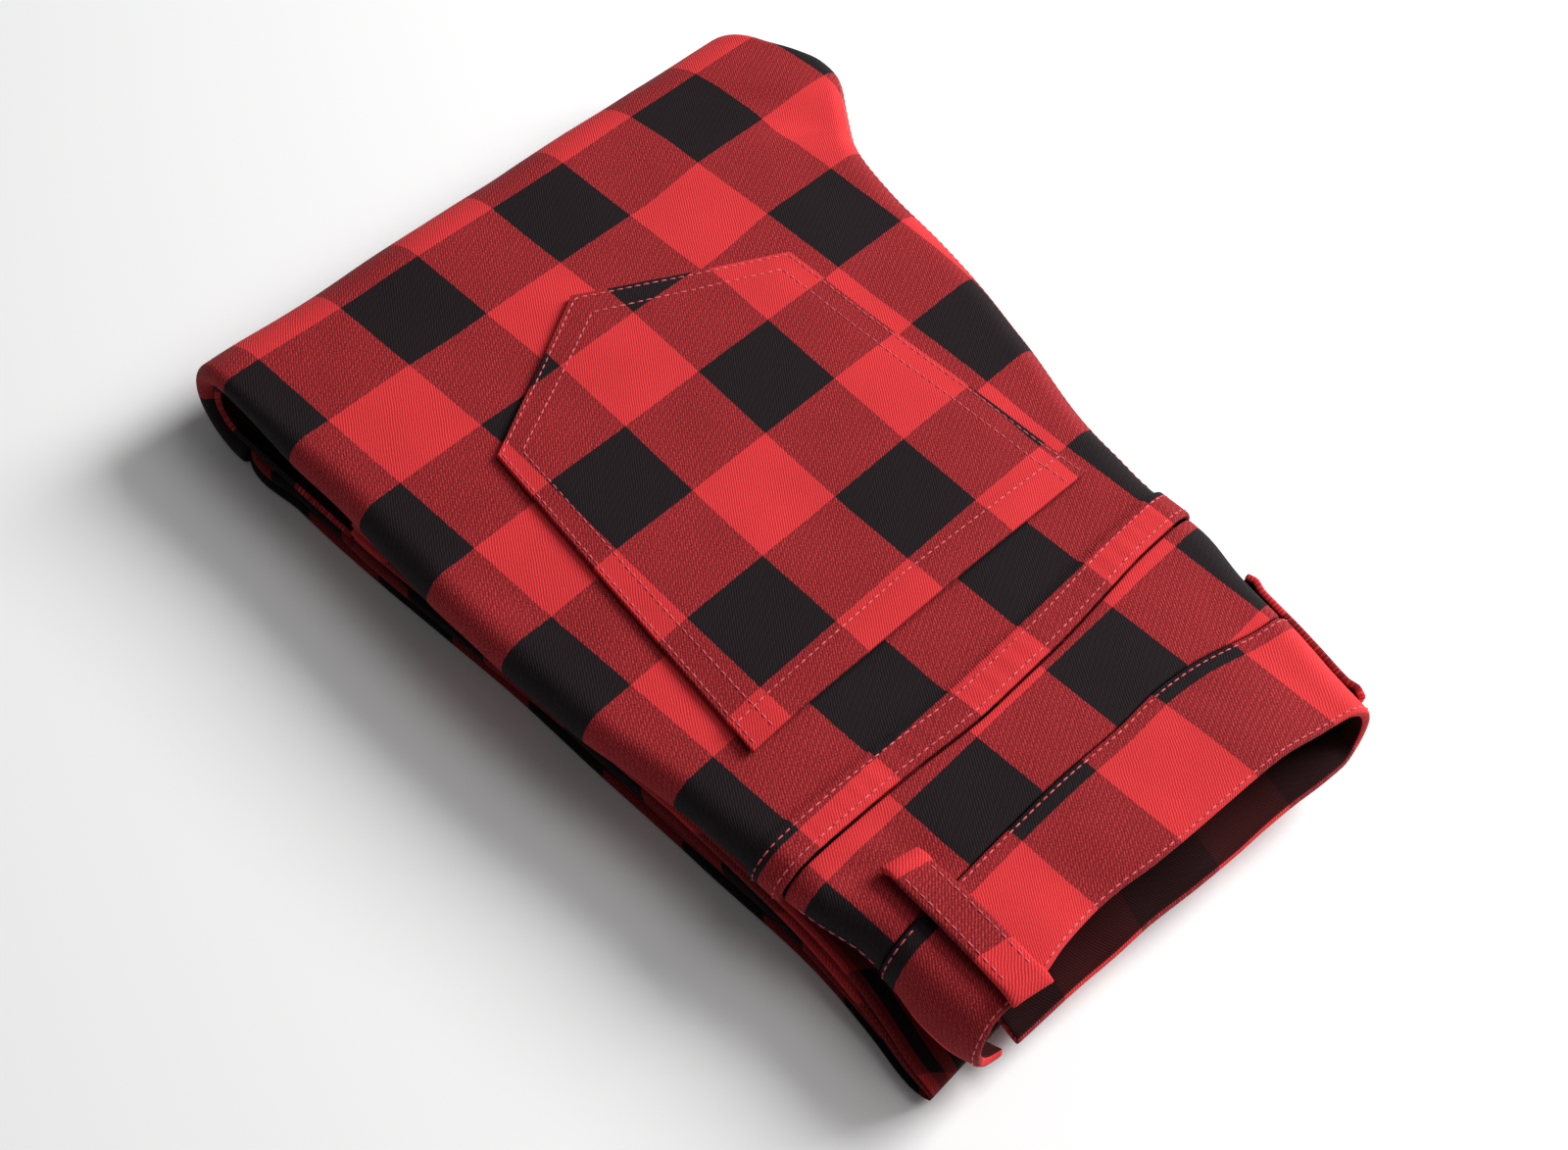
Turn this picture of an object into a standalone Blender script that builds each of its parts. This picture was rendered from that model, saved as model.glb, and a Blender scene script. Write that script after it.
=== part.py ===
# Slim fit jeans, halved along the centre back seam with the backs outside,
# then folded in thirds with the legs underneath.
# Along (x) runs towards the waist, across (y) towards the centre back, z is up.

import math

import bpy
from mathutils import Vector

COLLECTION = "slim_fit_jeans"

# Sizes in metres
TOP = 0.038
FOLD_RADIUS = 0.5 * TOP
FOLD_X = -0.150
CLOTH = 0.0020
BAND_CLOTH = 0.0030
SEAM_GAP = 0.0003
TUCK = 0.012
LAP_WIDTH = 0.0120
EDGE_TURN = 7.0
CENTRE_SEAM_TURN = 88.0
LAP_RISE = 0.0014
CENTRE_X = -0.00060
CENTRE_Y = 0.00105

# Rows of the cloth walls; the lapped strip's rows are a distance back from the seam and a share of the rise
FLAT_ROWS = 22
YOKE_ROWS = 4
CROTCH_ROW = 3
LAP_ROWS = ((0.0120, 0.8), (0.0108, 1.0), (0.0060, 1.0), (0.0010, 1.0), (0.0, 0.7))

# Plan of the top half at each station along the leg, before it is bent round the thigh fold.
# along, left edge, radius of the left roll, right edge, radius of the right roll
OUTLINE = (
    (-0.2140, -0.1205, 0.0036, 0.1060, 0.0050),
    (-0.1800, -0.1205, 0.0036, 0.1120, 0.0052),
    (-0.1500, -0.1212, 0.0038, 0.1190, 0.0058),
    (-0.1380, -0.1215, 0.0044, 0.1255, 0.0066),
    (-0.1280, -0.1218, 0.0052, 0.1285, 0.0074),
    (-0.1190, -0.1220, 0.0060, 0.1270, 0.0086),
    (-0.1100, -0.1222, 0.0066, 0.1205, 0.0102),
    (-0.1020, -0.1224, 0.0071, 0.1145, 0.0114),
    (-0.0940, -0.1227, 0.0074, 0.1090, 0.0122),
    (-0.0850, -0.1232, 0.0075, 0.1050, 0.0128),
    (-0.0700, -0.1242, 0.0075, 0.1010, 0.0130),
    (-0.0450, -0.1262, 0.0075, 0.0970, 0.0130),
    (-0.0230, -0.1262, 0.0075, 0.0915, 0.0130),
    (0.0030, -0.1262, 0.0075, 0.0840, 0.0130),
    (0.0330, -0.1238, 0.0075, 0.0740, 0.0130),
    (0.0500, -0.1220, 0.0076, 0.0690, 0.0129),
    (0.0680, -0.1206, 0.0079, 0.0650, 0.0128),
    (0.0930, -0.1192, 0.0088, 0.0640, 0.0124),
    (0.1080, -0.1172, 0.0100, 0.0602, 0.0120),
    (0.1200, -0.1176, 0.0113, 0.0575, 0.0117),
    (0.1300, -0.1188, 0.0125, 0.0550, 0.0114),
    (0.1400, -0.1184, 0.0132, 0.0522, 0.0112),
    (0.1480, -0.1162, 0.0136, 0.0500, 0.0110),
    (0.1700, -0.1140, 0.0136, 0.0465, 0.0110),
)

# Seams and edges that cross the garment: across, along
YOKE_SEAM = (
    (-0.130, 0.0815), (-0.110, 0.0815), (-0.094, 0.0820), (-0.070, 0.0834),
    (-0.038, 0.0858), (-0.010, 0.0858), (0.019, 0.0844), (0.038, 0.0836), (0.080, 0.0845),
)
BAND_SEAM = (
    (-0.130, 0.1140), (-0.100, 0.1130), (-0.077, 0.1130), (-0.042, 0.1134),
    (-0.017, 0.1150), (0.002, 0.1152), (0.017, 0.1174), (0.031, 0.1212),
    (0.043, 0.1244), (0.080, 0.1270),
)
BAND_EDGE = (
    (-0.110, 0.1462), (-0.093, 0.1476), (-0.081, 0.1462), (-0.068, 0.1457),
    (-0.056, 0.1468), (-0.045, 0.1488), (-0.030, 0.1506), (-0.016, 0.1520),
    (0.000, 0.1536), (0.011, 0.1550), (0.025, 0.1582), (0.034, 0.1602),
    (0.042, 0.1624), (0.060, 0.1640), (0.080, 0.1645),
)
LOWER_EDGE = (
    (-0.110, 0.1512), (-0.100, 0.1518), (-0.074, 0.1538), (-0.059, 0.1556),
    (-0.045, 0.1568), (-0.027, 0.1597), (-0.010, 0.1617), (0.000, 0.1626),
    (0.0145, 0.1644), (0.025, 0.1662), (0.036, 0.1674), (0.046, 0.1676), (0.080, 0.1655),
)
BAND_WIDTH = 0.038
LOWER_DROP = 0.0050
LOWER_RUN = 0.1380
BAND_JOIN = -0.0969
FRONT_REACH = 0.0042
BAND_ROWS = ((0.0, 0.0), (0.04, 0.0005), (0.35, 0.0005), (0.65, 0.0005), (0.96, 0.0005), (1.0, 0.0))

# Largest soft folds of the top: along, across, length, width, rise, turn in degrees
FOLDS = (
    (-0.108, 0.100, 0.020, 0.0060, -0.0022, 62.0),
    (-0.128, 0.104, 0.022, 0.0100, 0.0012, 50.0),
    (-0.120, -0.060, 0.050, 0.0160, -0.0008, 20.0),
    (0.066, -0.050, 0.045, 0.0100, -0.0008, 80.0),
    (0.100, -0.088, 0.014, 0.0060, -0.0014, 15.0),
    (0.142, -0.066, 0.022, 0.0140, -0.0020, 0.0),
    (0.146, 0.004, 0.026, 0.0200, 0.0016, 5.0),
    (0.140, 0.034, 0.022, 0.0080, -0.0008, -10.0),
)

# Back pocket: across and along at its corners, on the panel
POCKET_TIP = (-0.0198, -0.1047)
POCKET_LEFT_LOW = (-0.0805, -0.0735)
POCKET_RIGHT_LOW = (0.0465, -0.0710)
POCKET_LEFT_TOP = (-0.0995, 0.0490)
POCKET_RIGHT_TOP = (0.0475, 0.0530)
POCKET_CLOTH = 0.0018
POCKET_REST = 0.0005
POCKET_HEM = 0.0130
POCKET_HEM_RISE = 0.0007
POCKET_MOUTH_RISE = 0.0022

# Belt loops
LOOP_WIDTH = 0.0130
LOOP_CLOTH = 0.0024
LOOP_REST = 0.0012
LOOP_RISE = 0.0016
SIDE_LOOP_START = (0.0978, -0.0942)
SIDE_LOOP_END = (0.1496, -0.0990)
BACK_LOOP_START = 0.1085
BACK_LOOP_END = 0.1600
BACK_LOOP_ANGLE = 104.0
BACK_LOOP_SLACK = 0.4

# Folded legs below: along, left edge, right edge
LOWER_OUTLINE = (
    (-0.1700, -0.0930, 0.0960),
    (-0.1457, -0.1200, 0.1000),
    (-0.1200, -0.1210, 0.1040),
    (-0.0900, -0.1215, 0.0980),
    (-0.0500, -0.1200, 0.0920),
    (0.0000, -0.1190, 0.0830),
    (0.0500, -0.1190, 0.0740),
    (0.0900, -0.1195, 0.0690),
    (0.1200, -0.1225, 0.0640),
    (0.1350, -0.1254, 0.0610),
    (0.1500, -0.1262, 0.0580),
)
LEFT_LAYERS = 3
RIGHT_LAYERS = 2
LAYER_GROOVE = 0.0034
LAYER_CLEARANCE = 0.0006
FLOOR_CLEARANCE = 0.0014
INNER_CLEARANCE = 0.0045
RECESS_START = -0.0955
RECESS_Y = -0.0940
FOLD_INNER_START = -0.1460
FOLD_INNER_RADIUS = 0.0155
FOLD_INNER_LEFT = -0.0920
FOLD_INNER_RIGHT = 0.0960
CAVITY_START = 0.0880
CAVITY_FULL = 0.1040
END_START = 0.1360
END_X = 0.1438
END_HEIGHT = 0.0052

# Colours
RED = (0.70, 0.035, 0.040, 1.0)
DARK_RED = (0.30, 0.014, 0.018, 1.0)
BLACK = (0.016, 0.013, 0.014, 1.0)
CLOTH_ROUGHNESS = 0.85


def smooth_at(table, column, x):
    """Value of one column of a table at x, on a smooth curve through its rows."""
    rows = [(row[0], row[column]) for row in table]
    if x <= rows[0][0]:
        return rows[0][1]
    if x >= rows[-1][0]:
        return rows[-1][1]
    i = 0
    while rows[i + 1][0] < x:
        i += 1
    x0, y0 = rows[i]
    x1, y1 = rows[i + 1]
    span = x1 - x0
    slope = (y1 - y0) / span
    before = (y0 - rows[i - 1][1]) / (x0 - rows[i - 1][0]) if i > 0 else slope
    after = (rows[i + 2][1] - y1) / (rows[i + 2][0] - x1) if i + 2 < len(rows) else slope
    m0 = 0.5 * (before + slope) if before * slope > 0 else 0.0
    m1 = 0.5 * (after + slope) if after * slope > 0 else 0.0
    t = (x - x0) / span
    h0 = (1 + 2 * t) * (1 - t) ** 2
    h1 = t * (1 - t) ** 2
    h2 = t * t * (3 - 2 * t)
    h3 = t * t * (t - 1)
    return h0 * y0 + h1 * span * m0 + h2 * y1 + h3 * span * m1


def ease(t):
    """Smooth step from 0 to 1."""
    t = min(1.0, max(0.0, t))
    return t * t * (3 - 2 * t)


def mix(a, b, t):
    return a + (b - a) * t


def edges_at(along):
    """Left edge, left roll, right edge and right roll at a station."""
    return tuple(smooth_at(OUTLINE, column, along) for column in (1, 2, 3, 4))


def relief(along, across):
    """Rise of the soft folds at a point of the top."""
    rise = 0.0
    for row in FOLDS:
        turn = math.radians(row[5])
        dx = along - row[0]
        dy = across - row[1]
        u = (dx * math.cos(turn) + dy * math.sin(turn)) / row[2]
        v = (dy * math.cos(turn) - dx * math.sin(turn)) / row[3]
        rise += row[4] * math.exp(-u * u - v * v)
    return rise


def lower_depth(along, across):
    """Depth of the lower half of the waist below the top."""
    left, left_roll, right, right_roll = edges_at(along)
    flat_left = left + left_roll
    flat_right = right - right_roll
    share = ease((flat_right - across) / (flat_right - flat_left))
    return 2 * right_roll + LOWER_DROP * share * ease((along - 0.090) / 0.025)


def section(along, run):
    """Across, depth and outward direction at a distance run round the section.

    The run is the across value on the flat top and goes on round each rolled edge.
    """
    left, left_roll, right, right_roll = edges_at(along)
    flat_left = left + left_roll
    flat_right = right - right_roll
    if run < flat_left:
        angle = (flat_left - run) / left_roll
        if angle <= math.pi:
            across = flat_left - left_roll * math.sin(angle)
            depth = left_roll * (1 - math.cos(angle))
            return across, depth, -math.sin(angle), math.cos(angle)
        return flat_left + (angle - math.pi) * left_roll, 2 * left_roll, 0.0, -1.0
    if run > flat_right:
        angle = (run - flat_right) / right_roll
        if angle <= math.pi:
            across = flat_right + right_roll * math.sin(angle)
            depth = right_roll * (1 - math.cos(angle))
            return across, depth, math.sin(angle), math.cos(angle)
        across = flat_right - (angle - math.pi) * right_roll
        return across, lower_depth(along, across), 0.0, -1.0
    return run, 0.0, 0.0, 1.0


def bend(along, across, depth):
    """Point at a depth under the top, bent round the thigh fold where along is past it."""
    turn = (FOLD_X - along) / FOLD_RADIUS
    if turn <= 0:
        x, z = along, TOP - depth
    elif turn >= math.pi:
        x, z = FOLD_X + (turn - math.pi) * FOLD_RADIUS, depth
    else:
        radius = FOLD_RADIUS - depth
        x = FOLD_X - radius * math.sin(turn)
        z = FOLD_RADIUS + radius * math.cos(turn)
    return Vector((x - CENTRE_X, across - CENTRE_Y, z))


def place(along, run, lift=0.0):
    """Point on the outer face of the garment, moved out by lift."""
    across, depth, out_y, out_z = section(along, run)
    depth -= relief(along, across) * max(0.0, out_z) ** 2
    return bend(along, across + lift * out_y, depth - lift * out_z)


def run_at(along, column):
    """Run of a column, given as its part of the section and its place in that part."""
    part, value = column
    left, left_roll, right, right_roll = edges_at(along)
    flat_left = left + left_roll
    flat_right = right - right_roll
    if part == "flat":
        return mix(flat_left, flat_right, value)
    if part == "left":
        return flat_left - math.radians(value) * left_roll
    if part == "tuck":
        return flat_left - math.pi * left_roll - value
    if part == "right":
        return flat_right + math.radians(value) * right_roll
    if part == "at":
        return value
    return flat_right + math.pi * right_roll + value


def material(name, colour):
    mat = bpy.data.materials.new(name)
    mat.use_nodes = True
    shader = mat.node_tree.nodes["Principled BSDF"]
    shader.inputs["Base Color"].default_value = colour
    shader.inputs["Roughness"].default_value = CLOTH_ROUGHNESS
    shader.inputs["Metallic"].default_value = 0.0
    return mat


def add_object(name, vertices, faces, colour):
    mesh = bpy.data.meshes.new(name)
    mesh.from_pydata([tuple(v) for v in vertices], [], faces)
    mesh.update()
    obj = bpy.data.objects.new(name, mesh)
    obj.data.materials.append(material(name + "_cloth", colour))
    bpy.data.collections[COLLECTION].objects.link(obj)
    mesh.shade_smooth()
    return obj


def cloth_sheet(name, rows, thickness, colour):
    """Wall of cloth: an open grid of outer points, thickened inwards."""
    count = len(rows[0])
    vertices = [point for row in rows for point in row]
    faces = []
    for i in range(len(rows) - 1):
        for j in range(count - 1):
            a = i * count + j
            faces.append((a, a + count, a + count + 1, a + 1))
    obj = add_object(name, vertices, faces, colour)
    solidify = obj.modifiers.new("cloth thickness", "SOLIDIFY")
    solidify.thickness = thickness
    solidify.offset = -1.0
    solidify.use_even_offset = False
    solidify.use_rim = True
    return obj


def closed_loft(name, sections, colour):
    """Closed solid through sections with the same number of points."""
    count = len(sections[0])
    vertices = [point for ring in sections for point in ring]
    faces = []
    for i in range(len(sections) - 1):
        for j in range(count):
            a = i * count + j
            b = i * count + (j + 1) % count
            faces.append((a, a + count, b + count, b))
    faces.append(tuple(range(count)))
    faces.append(tuple(range(len(sections) * count - 1, (len(sections) - 1) * count - 1, -1)))
    return add_object(name, vertices, faces, colour)


def top_columns(flat_count, first_left, last_right):
    """Columns from the left roll over the flat top to the right roll."""
    columns = []
    if first_left > 180:
        columns += [("tuck", TUCK), ("tuck", 0.5 * TUCK)]
        first_left = 180
    steps = max(1, round(first_left / 30))
    columns += [("left", first_left * (steps - i) / steps) for i in range(steps)]
    columns += [("flat", i / flat_count) for i in range(flat_count + 1)]
    steps = max(1, round(last_right / 30))
    columns += [("right", (last_right - EDGE_TURN) * (i + 1) / steps) for i in range(steps)]
    columns += [("right", last_right)]
    return columns


def crossing(table, along_guess, column, inset=0.0):
    """Along value where a column meets a seam that crosses the garment."""
    along = along_guess
    for _ in range(3):
        across = section(along, run_at(along, column))[0]
        along = smooth_at(table, 1, across) + inset
    return along


def panel_station(i, column):
    """Along value of one of the rows between the thigh fold and the lapped strip."""
    end = crossing(YOKE_SEAM, 0.083, column, -LAP_WIDTH - 0.001)
    return mix(FOLD_X, end, i / FLAT_ROWS)


def yoke_station(i, column):
    """Along value of one of the rows of the yoke."""
    start = crossing(YOKE_SEAM, 0.083, column, SEAM_GAP)
    end = crossing(BAND_SEAM, 0.115, column, -SEAM_GAP)
    return mix(start, end, i / YOKE_ROWS)


def back_panel():
    """Seat and thigh: rolled at both edges, round the thigh fold, lapped over the yoke."""
    columns = top_columns(14, 181, CENTRE_SEAM_TURN)
    rows = []
    fold_rows = 9
    tail = FOLD_X - math.pi * FOLD_RADIUS - 0.0034
    fold_end = FOLD_X - math.pi * FOLD_RADIUS
    starts = [tail] + [mix(fold_end, FOLD_X, i / fold_rows) for i in range(fold_rows + 1)]
    for along in starts:
        rows.append([place(along, run_at(along, column)) for column in columns])
    for i in range(1, FLAT_ROWS + 1):
        row = []
        for column in columns:
            along = panel_station(i, column)
            row.append(place(along, run_at(along, column)))
        rows.append(row)
    for back, rise in LAP_ROWS:
        row = []
        for column in columns:
            along = crossing(YOKE_SEAM, 0.083, column, -back)
            if column[0] == "tuck":
                shown = 0.0
            elif column[0] == "left":
                shown = ease((170.0 - column[1]) / 60.0)
            elif column[0] == "right":
                shown = ease((CENTRE_SEAM_TURN - column[1]) / 30.0)
            else:
                shown = 1.0
            row.append(place(along, run_at(along, column), LAP_RISE * rise * shown))
        rows.append(row)
    return cloth_sheet("back_panel", rows, CLOTH, RED)


def yoke():
    """Strip between the back panel and the waistband."""
    columns = top_columns(14, 181, CENTRE_SEAM_TURN)
    rows = []
    for i in range(YOKE_ROWS + 1):
        row = []
        for column in columns:
            along = yoke_station(i, column)
            row.append(place(along, run_at(along, column), -0.0002))
        rows.append(row)
    return cloth_sheet("yoke", rows, CLOTH, DARK_RED)


def band_edges(column):
    """Seam and free edge of the waistband at a column, on the upper and the lower half."""
    part, value = column
    upper_edge = crossing(BAND_EDGE, 0.155, column)
    upper_seam = crossing(BAND_SEAM, 0.118, column)
    if part not in ("right", "return"):
        return upper_seam, upper_edge
    lower_edge = crossing(LOWER_EDGE, 0.160, column)
    share = ease(value / 180.0) if part == "right" else 1.0
    edge = mix(upper_edge, lower_edge, share)
    seam = mix(upper_seam, lower_edge - BAND_WIDTH, share)
    return seam, edge


def waistband():
    """Back waistband: over the top, round the centre back and underneath to the left end."""
    columns = [("at", BAND_JOIN + SEAM_GAP), ("at", BAND_JOIN + 0.0020)]
    columns += [("flat", i / 14) for i in range(2, 15)]
    columns += [("right", 180.0 * (i + 1) / 8) for i in range(8)]
    columns += [("return", LOWER_RUN * (i + 1) / 9) for i in range(9)]
    rows = []
    for share, rise in BAND_ROWS:
        row = []
        for column in columns:
            seam, edge = band_edges(column)
            along = mix(seam, edge, share)
            row.append(place(along, run_at(along, column), rise))
        rows.append(row)
    return cloth_sheet("waistband", rows, BAND_CLOTH, RED)


def waistband_front():
    """Front waistband where it curls round the left end of the waist, cut lower at its edge."""
    columns = [("left", angle) for angle in (168.0, 150.0, 132.0, 112.0, 92.0, 72.0, 52.0, 34.0, 16.0, 0.0)]
    columns += [("at", BAND_JOIN - 0.0020), ("at", BAND_JOIN - SEAM_GAP)]
    rows = []
    for share, rise in BAND_ROWS:
        row = []
        for column in columns:
            lower = ease(column[1] / 168.0) if column[0] == "left" else 0.0
            seam = crossing(BAND_SEAM, 0.115, column)
            edge = crossing(BAND_EDGE, 0.147, column) + FRONT_REACH * lower
            along = mix(seam, edge, share)
            row.append(place(along, run_at(along, column), rise))
        rows.append(row)
    return cloth_sheet("waistband_front", rows, BAND_CLOTH, DARK_RED)


def second_back_panel():
    """The other back half, from the centre back seam round underneath."""
    columns = [("right", angle) for angle in (90.4, 94.4, 111.0, 127.5, 145.0, 162.5, 180.0)]
    columns += [("return", 0.005), ("return", 0.010)]
    seam = ("right", CENTRE_SEAM_TURN)
    stations = [panel_station(i, seam) for i in range(CROTCH_ROW, FLAT_ROWS + 1)]
    stations += [crossing(YOKE_SEAM, 0.083, seam, -back) for back, rise in LAP_ROWS[::2]]
    stations += [yoke_station(i, seam) for i in range(1, YOKE_ROWS + 1)]
    rows = []
    for station in stations:
        row = []
        for column in columns:
            end = band_edges(column)[0] - SEAM_GAP
            stretch = (end - stations[0]) / (stations[-1] - stations[0])
            along = stations[0] + (station - stations[0]) * mix(1.0, stretch, ease(column[1] / 180.0))
            if column[0] == "return":
                along = stations[0] + (station - stations[0]) * stretch
            row.append(place(along, run_at(along, column)))
        rows.append(row)
    return cloth_sheet("second_back_panel", rows, CLOTH, RED)


def second_leg():
    """The other leg, a loop of doubled cloth inside the thigh fold."""
    acrosses = [-0.1185, -0.1178, -0.1120, -0.1040, -0.0965]
    first = -0.0985
    last = FOLD_X - math.pi * FOLD_RADIUS - (FOLD_X * -1 - 0.0985)
    steps = 16
    rows = []
    for i in range(steps + 1):
        along = mix(last, first, i / steps)
        roll = edges_at(along)[1]
        row = []
        for k, across in enumerate(acrosses):
            rounding = 0.0006 if k == 0 else 0.0
            row.append(bend(along, across, 2 * roll + LAYER_CLEARANCE + rounding))
        rows.append(row)
    return cloth_sheet("second_leg", rows, CLOTH, RED)


def back_pocket():
    """Patch pocket: five-sided, its hem doubled and its mouth standing a little open."""
    across_count = 12
    length_count = 12
    rows = []
    for i in range(length_count + 1):
        v = i / length_count
        row = []
        for j in range(across_count + 1):
            u = j / across_count
            if u < 0.5:
                low_y = mix(POCKET_LEFT_LOW[0], POCKET_TIP[0], 2 * u)
                low_x = mix(POCKET_LEFT_LOW[1], POCKET_TIP[1], 2 * u)
            else:
                low_y = mix(POCKET_TIP[0], POCKET_RIGHT_LOW[0], 2 * u - 1)
                low_x = mix(POCKET_TIP[1], POCKET_RIGHT_LOW[1], 2 * u - 1)
            top_y = mix(POCKET_LEFT_TOP[0], POCKET_RIGHT_TOP[0], u)
            top_x = mix(POCKET_LEFT_TOP[1], POCKET_RIGHT_TOP[1], u)
            along = mix(low_x, top_x, v)
            across = mix(low_y, top_y, v)
            from_mouth = top_x - along
            hem = ease((POCKET_HEM - from_mouth) / 0.004)
            mouth = ease(1 - from_mouth / 0.045) * math.sin(math.pi * u) ** 0.7
            lift = POCKET_REST + POCKET_CLOTH + POCKET_HEM_RISE * hem + POCKET_MOUTH_RISE * mouth
            row.append(place(along, across, lift))
        rows.append(row)
    return cloth_sheet("back_pocket", rows, POCKET_CLOTH, RED)


def loop_lift(t, slack=1.0):
    """Rise of a belt loop along its length, sewn down at both ends."""
    return LOOP_REST + LOOP_CLOTH + slack * LOOP_RISE * max(0.0, math.sin(math.pi * t)) ** 0.6


def belt_loop_side():
    """Belt loop over the side of the waistband."""
    steps = 12
    rows = []
    for i in range(steps + 1):
        t = i / steps
        along = mix(SIDE_LOOP_START[0], SIDE_LOOP_END[0], t)
        middle = mix(SIDE_LOOP_START[1], SIDE_LOOP_END[1], t)
        row = []
        for k in range(5):
            side = k / 4 - 0.5
            skew = 0.0030 * side
            rounding = 0.0004 if k in (0, 4) else 0.0
            row.append(place(along + skew, middle + side * LOOP_WIDTH, loop_lift(t) - rounding))
        rows.append(row)
    return cloth_sheet("belt_loop_side", rows, LOOP_CLOTH, DARK_RED)


def belt_loop_back():
    """Belt loop over the centre back seam."""
    steps = 12
    rows = []
    for i in range(steps + 1):
        t = i / steps
        along = mix(BACK_LOOP_START, BACK_LOOP_END, t)
        middle = run_at(along, ("right", BACK_LOOP_ANGLE))
        row = []
        for k in range(5):
            side = k / 4 - 0.5
            rounding = 0.0004 if k in (0, 4) else 0.0
            row.append(place(along, middle + side * LOOP_WIDTH, loop_lift(t, BACK_LOOP_SLACK) - rounding))
        rows.append(row)
    return cloth_sheet("belt_loop_back", rows, LOOP_CLOTH, DARK_RED)


def layer_side(height, layers, edge, sign, along, recess=None):
    """Side of the folded legs from the floor up: one bulge for each layer."""
    points = []
    for layer in range(layers):
        shift = 0.0010 * math.sin(31.0 * along + 2.1 * layer + sign)
        for t, inset in ((0.04, 1.0), (0.22, 0.22), (0.5, 0.0), (0.78, 0.22), (0.96, 1.0)):
            if layer == 0 and t < 0.1:
                t, inset = 0.0, 0.35
            across = edge + sign * (LAYER_GROOVE * inset + shift)
            if recess is not None and layer > 0:
                across = recess + 0.0003 * t
            points.append((across, height * (layer + t) / layers))
    return points


def upper_outline(along, start, end):
    """Inside of the folded half, over the left tuck to the right one, as across and height."""
    left, left_roll, right, right_roll = edges_at(along)
    flat_right = right - right_roll
    ceiling = TOP - CLOTH - INNER_CLEARANCE
    points = [start, (start[0], mix(start[1], ceiling, 0.7)), (start[0] + 0.003, ceiling)]
    top_count = 8
    last = flat_right - 0.004
    for i in range(1, top_count + 1):
        points.append((mix(start[0] + 0.003, last, i / top_count), ceiling))
    radius = max(0.0012, right_roll - CLOTH - 0.0012)
    for angle, step in ((50.0, 0.0003), (90.0, 0.0006), (130.0, 0.0009)):
        across = flat_right - 0.001 + radius * math.sin(math.radians(angle))
        height = TOP - right_roll + radius * math.cos(math.radians(angle))
        points.append((across, min(height, ceiling - step)))
    points.append((end[0], TOP - 2 * right_roll + CLOTH + 0.0012))
    points.append(end)
    return points


def fold_outline(left_count, top_count, right_count):
    """Plain outline inside the thigh fold, with as many points as a full section."""
    low_count = left_count // LEFT_LAYERS
    points = [(FOLD_INNER_LEFT, 0.0035 * i / (low_count - 1)) for i in range(low_count)]
    rest = left_count - low_count
    points += [(FOLD_INNER_LEFT, mix(0.0050, TOP, i / (rest - 1))) for i in range(rest)]
    for i in range(1, top_count + 1):
        points.append((mix(FOLD_INNER_LEFT, FOLD_INNER_RIGHT, i / (top_count + 1)), TOP))
    points += [(FOLD_INNER_RIGHT, TOP * (1 - i / (right_count - 1))) for i in range(right_count)]
    return points


def layers_section(along):
    """Outline of the hidden layers at a station, as across and height."""
    left, left_roll, right, right_roll = edges_at(max(along, -0.150))
    left_roll = max(left_roll, edges_at(along + 0.008)[1])
    low_left = smooth_at(LOWER_OUTLINE, 1, along)
    low_right = smooth_at(LOWER_OUTLINE, 2, along)
    left_height = TOP - 2 * left_roll - LAYER_CLEARANCE
    right_height = TOP - 2 * right_roll - LAYER_CLEARANCE
    in_fold = along < FOLD_INNER_START + 0.0001
    recess = RECESS_Y if along < RECESS_START + 0.0001 else None
    if recess is not None:
        left_height = 3 * 0.0075
    tuck_end = left + left_roll + TUCK + 0.0012
    band_end = right - right_roll - LOWER_RUN - 0.0012
    start = (min(tuck_end, band_end) if along > 0.10 else tuck_end, left_height)
    if recess is not None:
        start = (recess + 0.0005, left_height)
    end = (right - right_roll - 0.0125, right_height)
    full = upper_outline(along, start, end)
    lower = []
    for i in range(len(full)):
        across = mix(start[0] + 0.0007, end[0], (i - 1) / (len(full) - 2))
        height = TOP - lower_depth(along, across) - FLOOR_CLEARANCE
        lower.append((across, height))
    share = ease((along - CAVITY_START) / (CAVITY_FULL - CAVITY_START))
    middle = [(mix(f[0], g[0], share), mix(f[1], g[1], share)) for f, g in zip(full, lower)]
    if share > 0.0:
        middle[0] = (start[0] - 0.0004, left_height)
        middle[-1] = (end[0] + 0.0004, mix(right_height, lower[-1][1], share))
    left_side = layer_side(left_height, LEFT_LAYERS, low_left, 1.0, along, recess)
    right_side = layer_side(right_height, RIGHT_LAYERS, low_right, -1.0, along)
    if in_fold:
        return fold_outline(len(left_side), len(middle), len(right_side))
    return left_side + middle + right_side[::-1]


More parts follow.
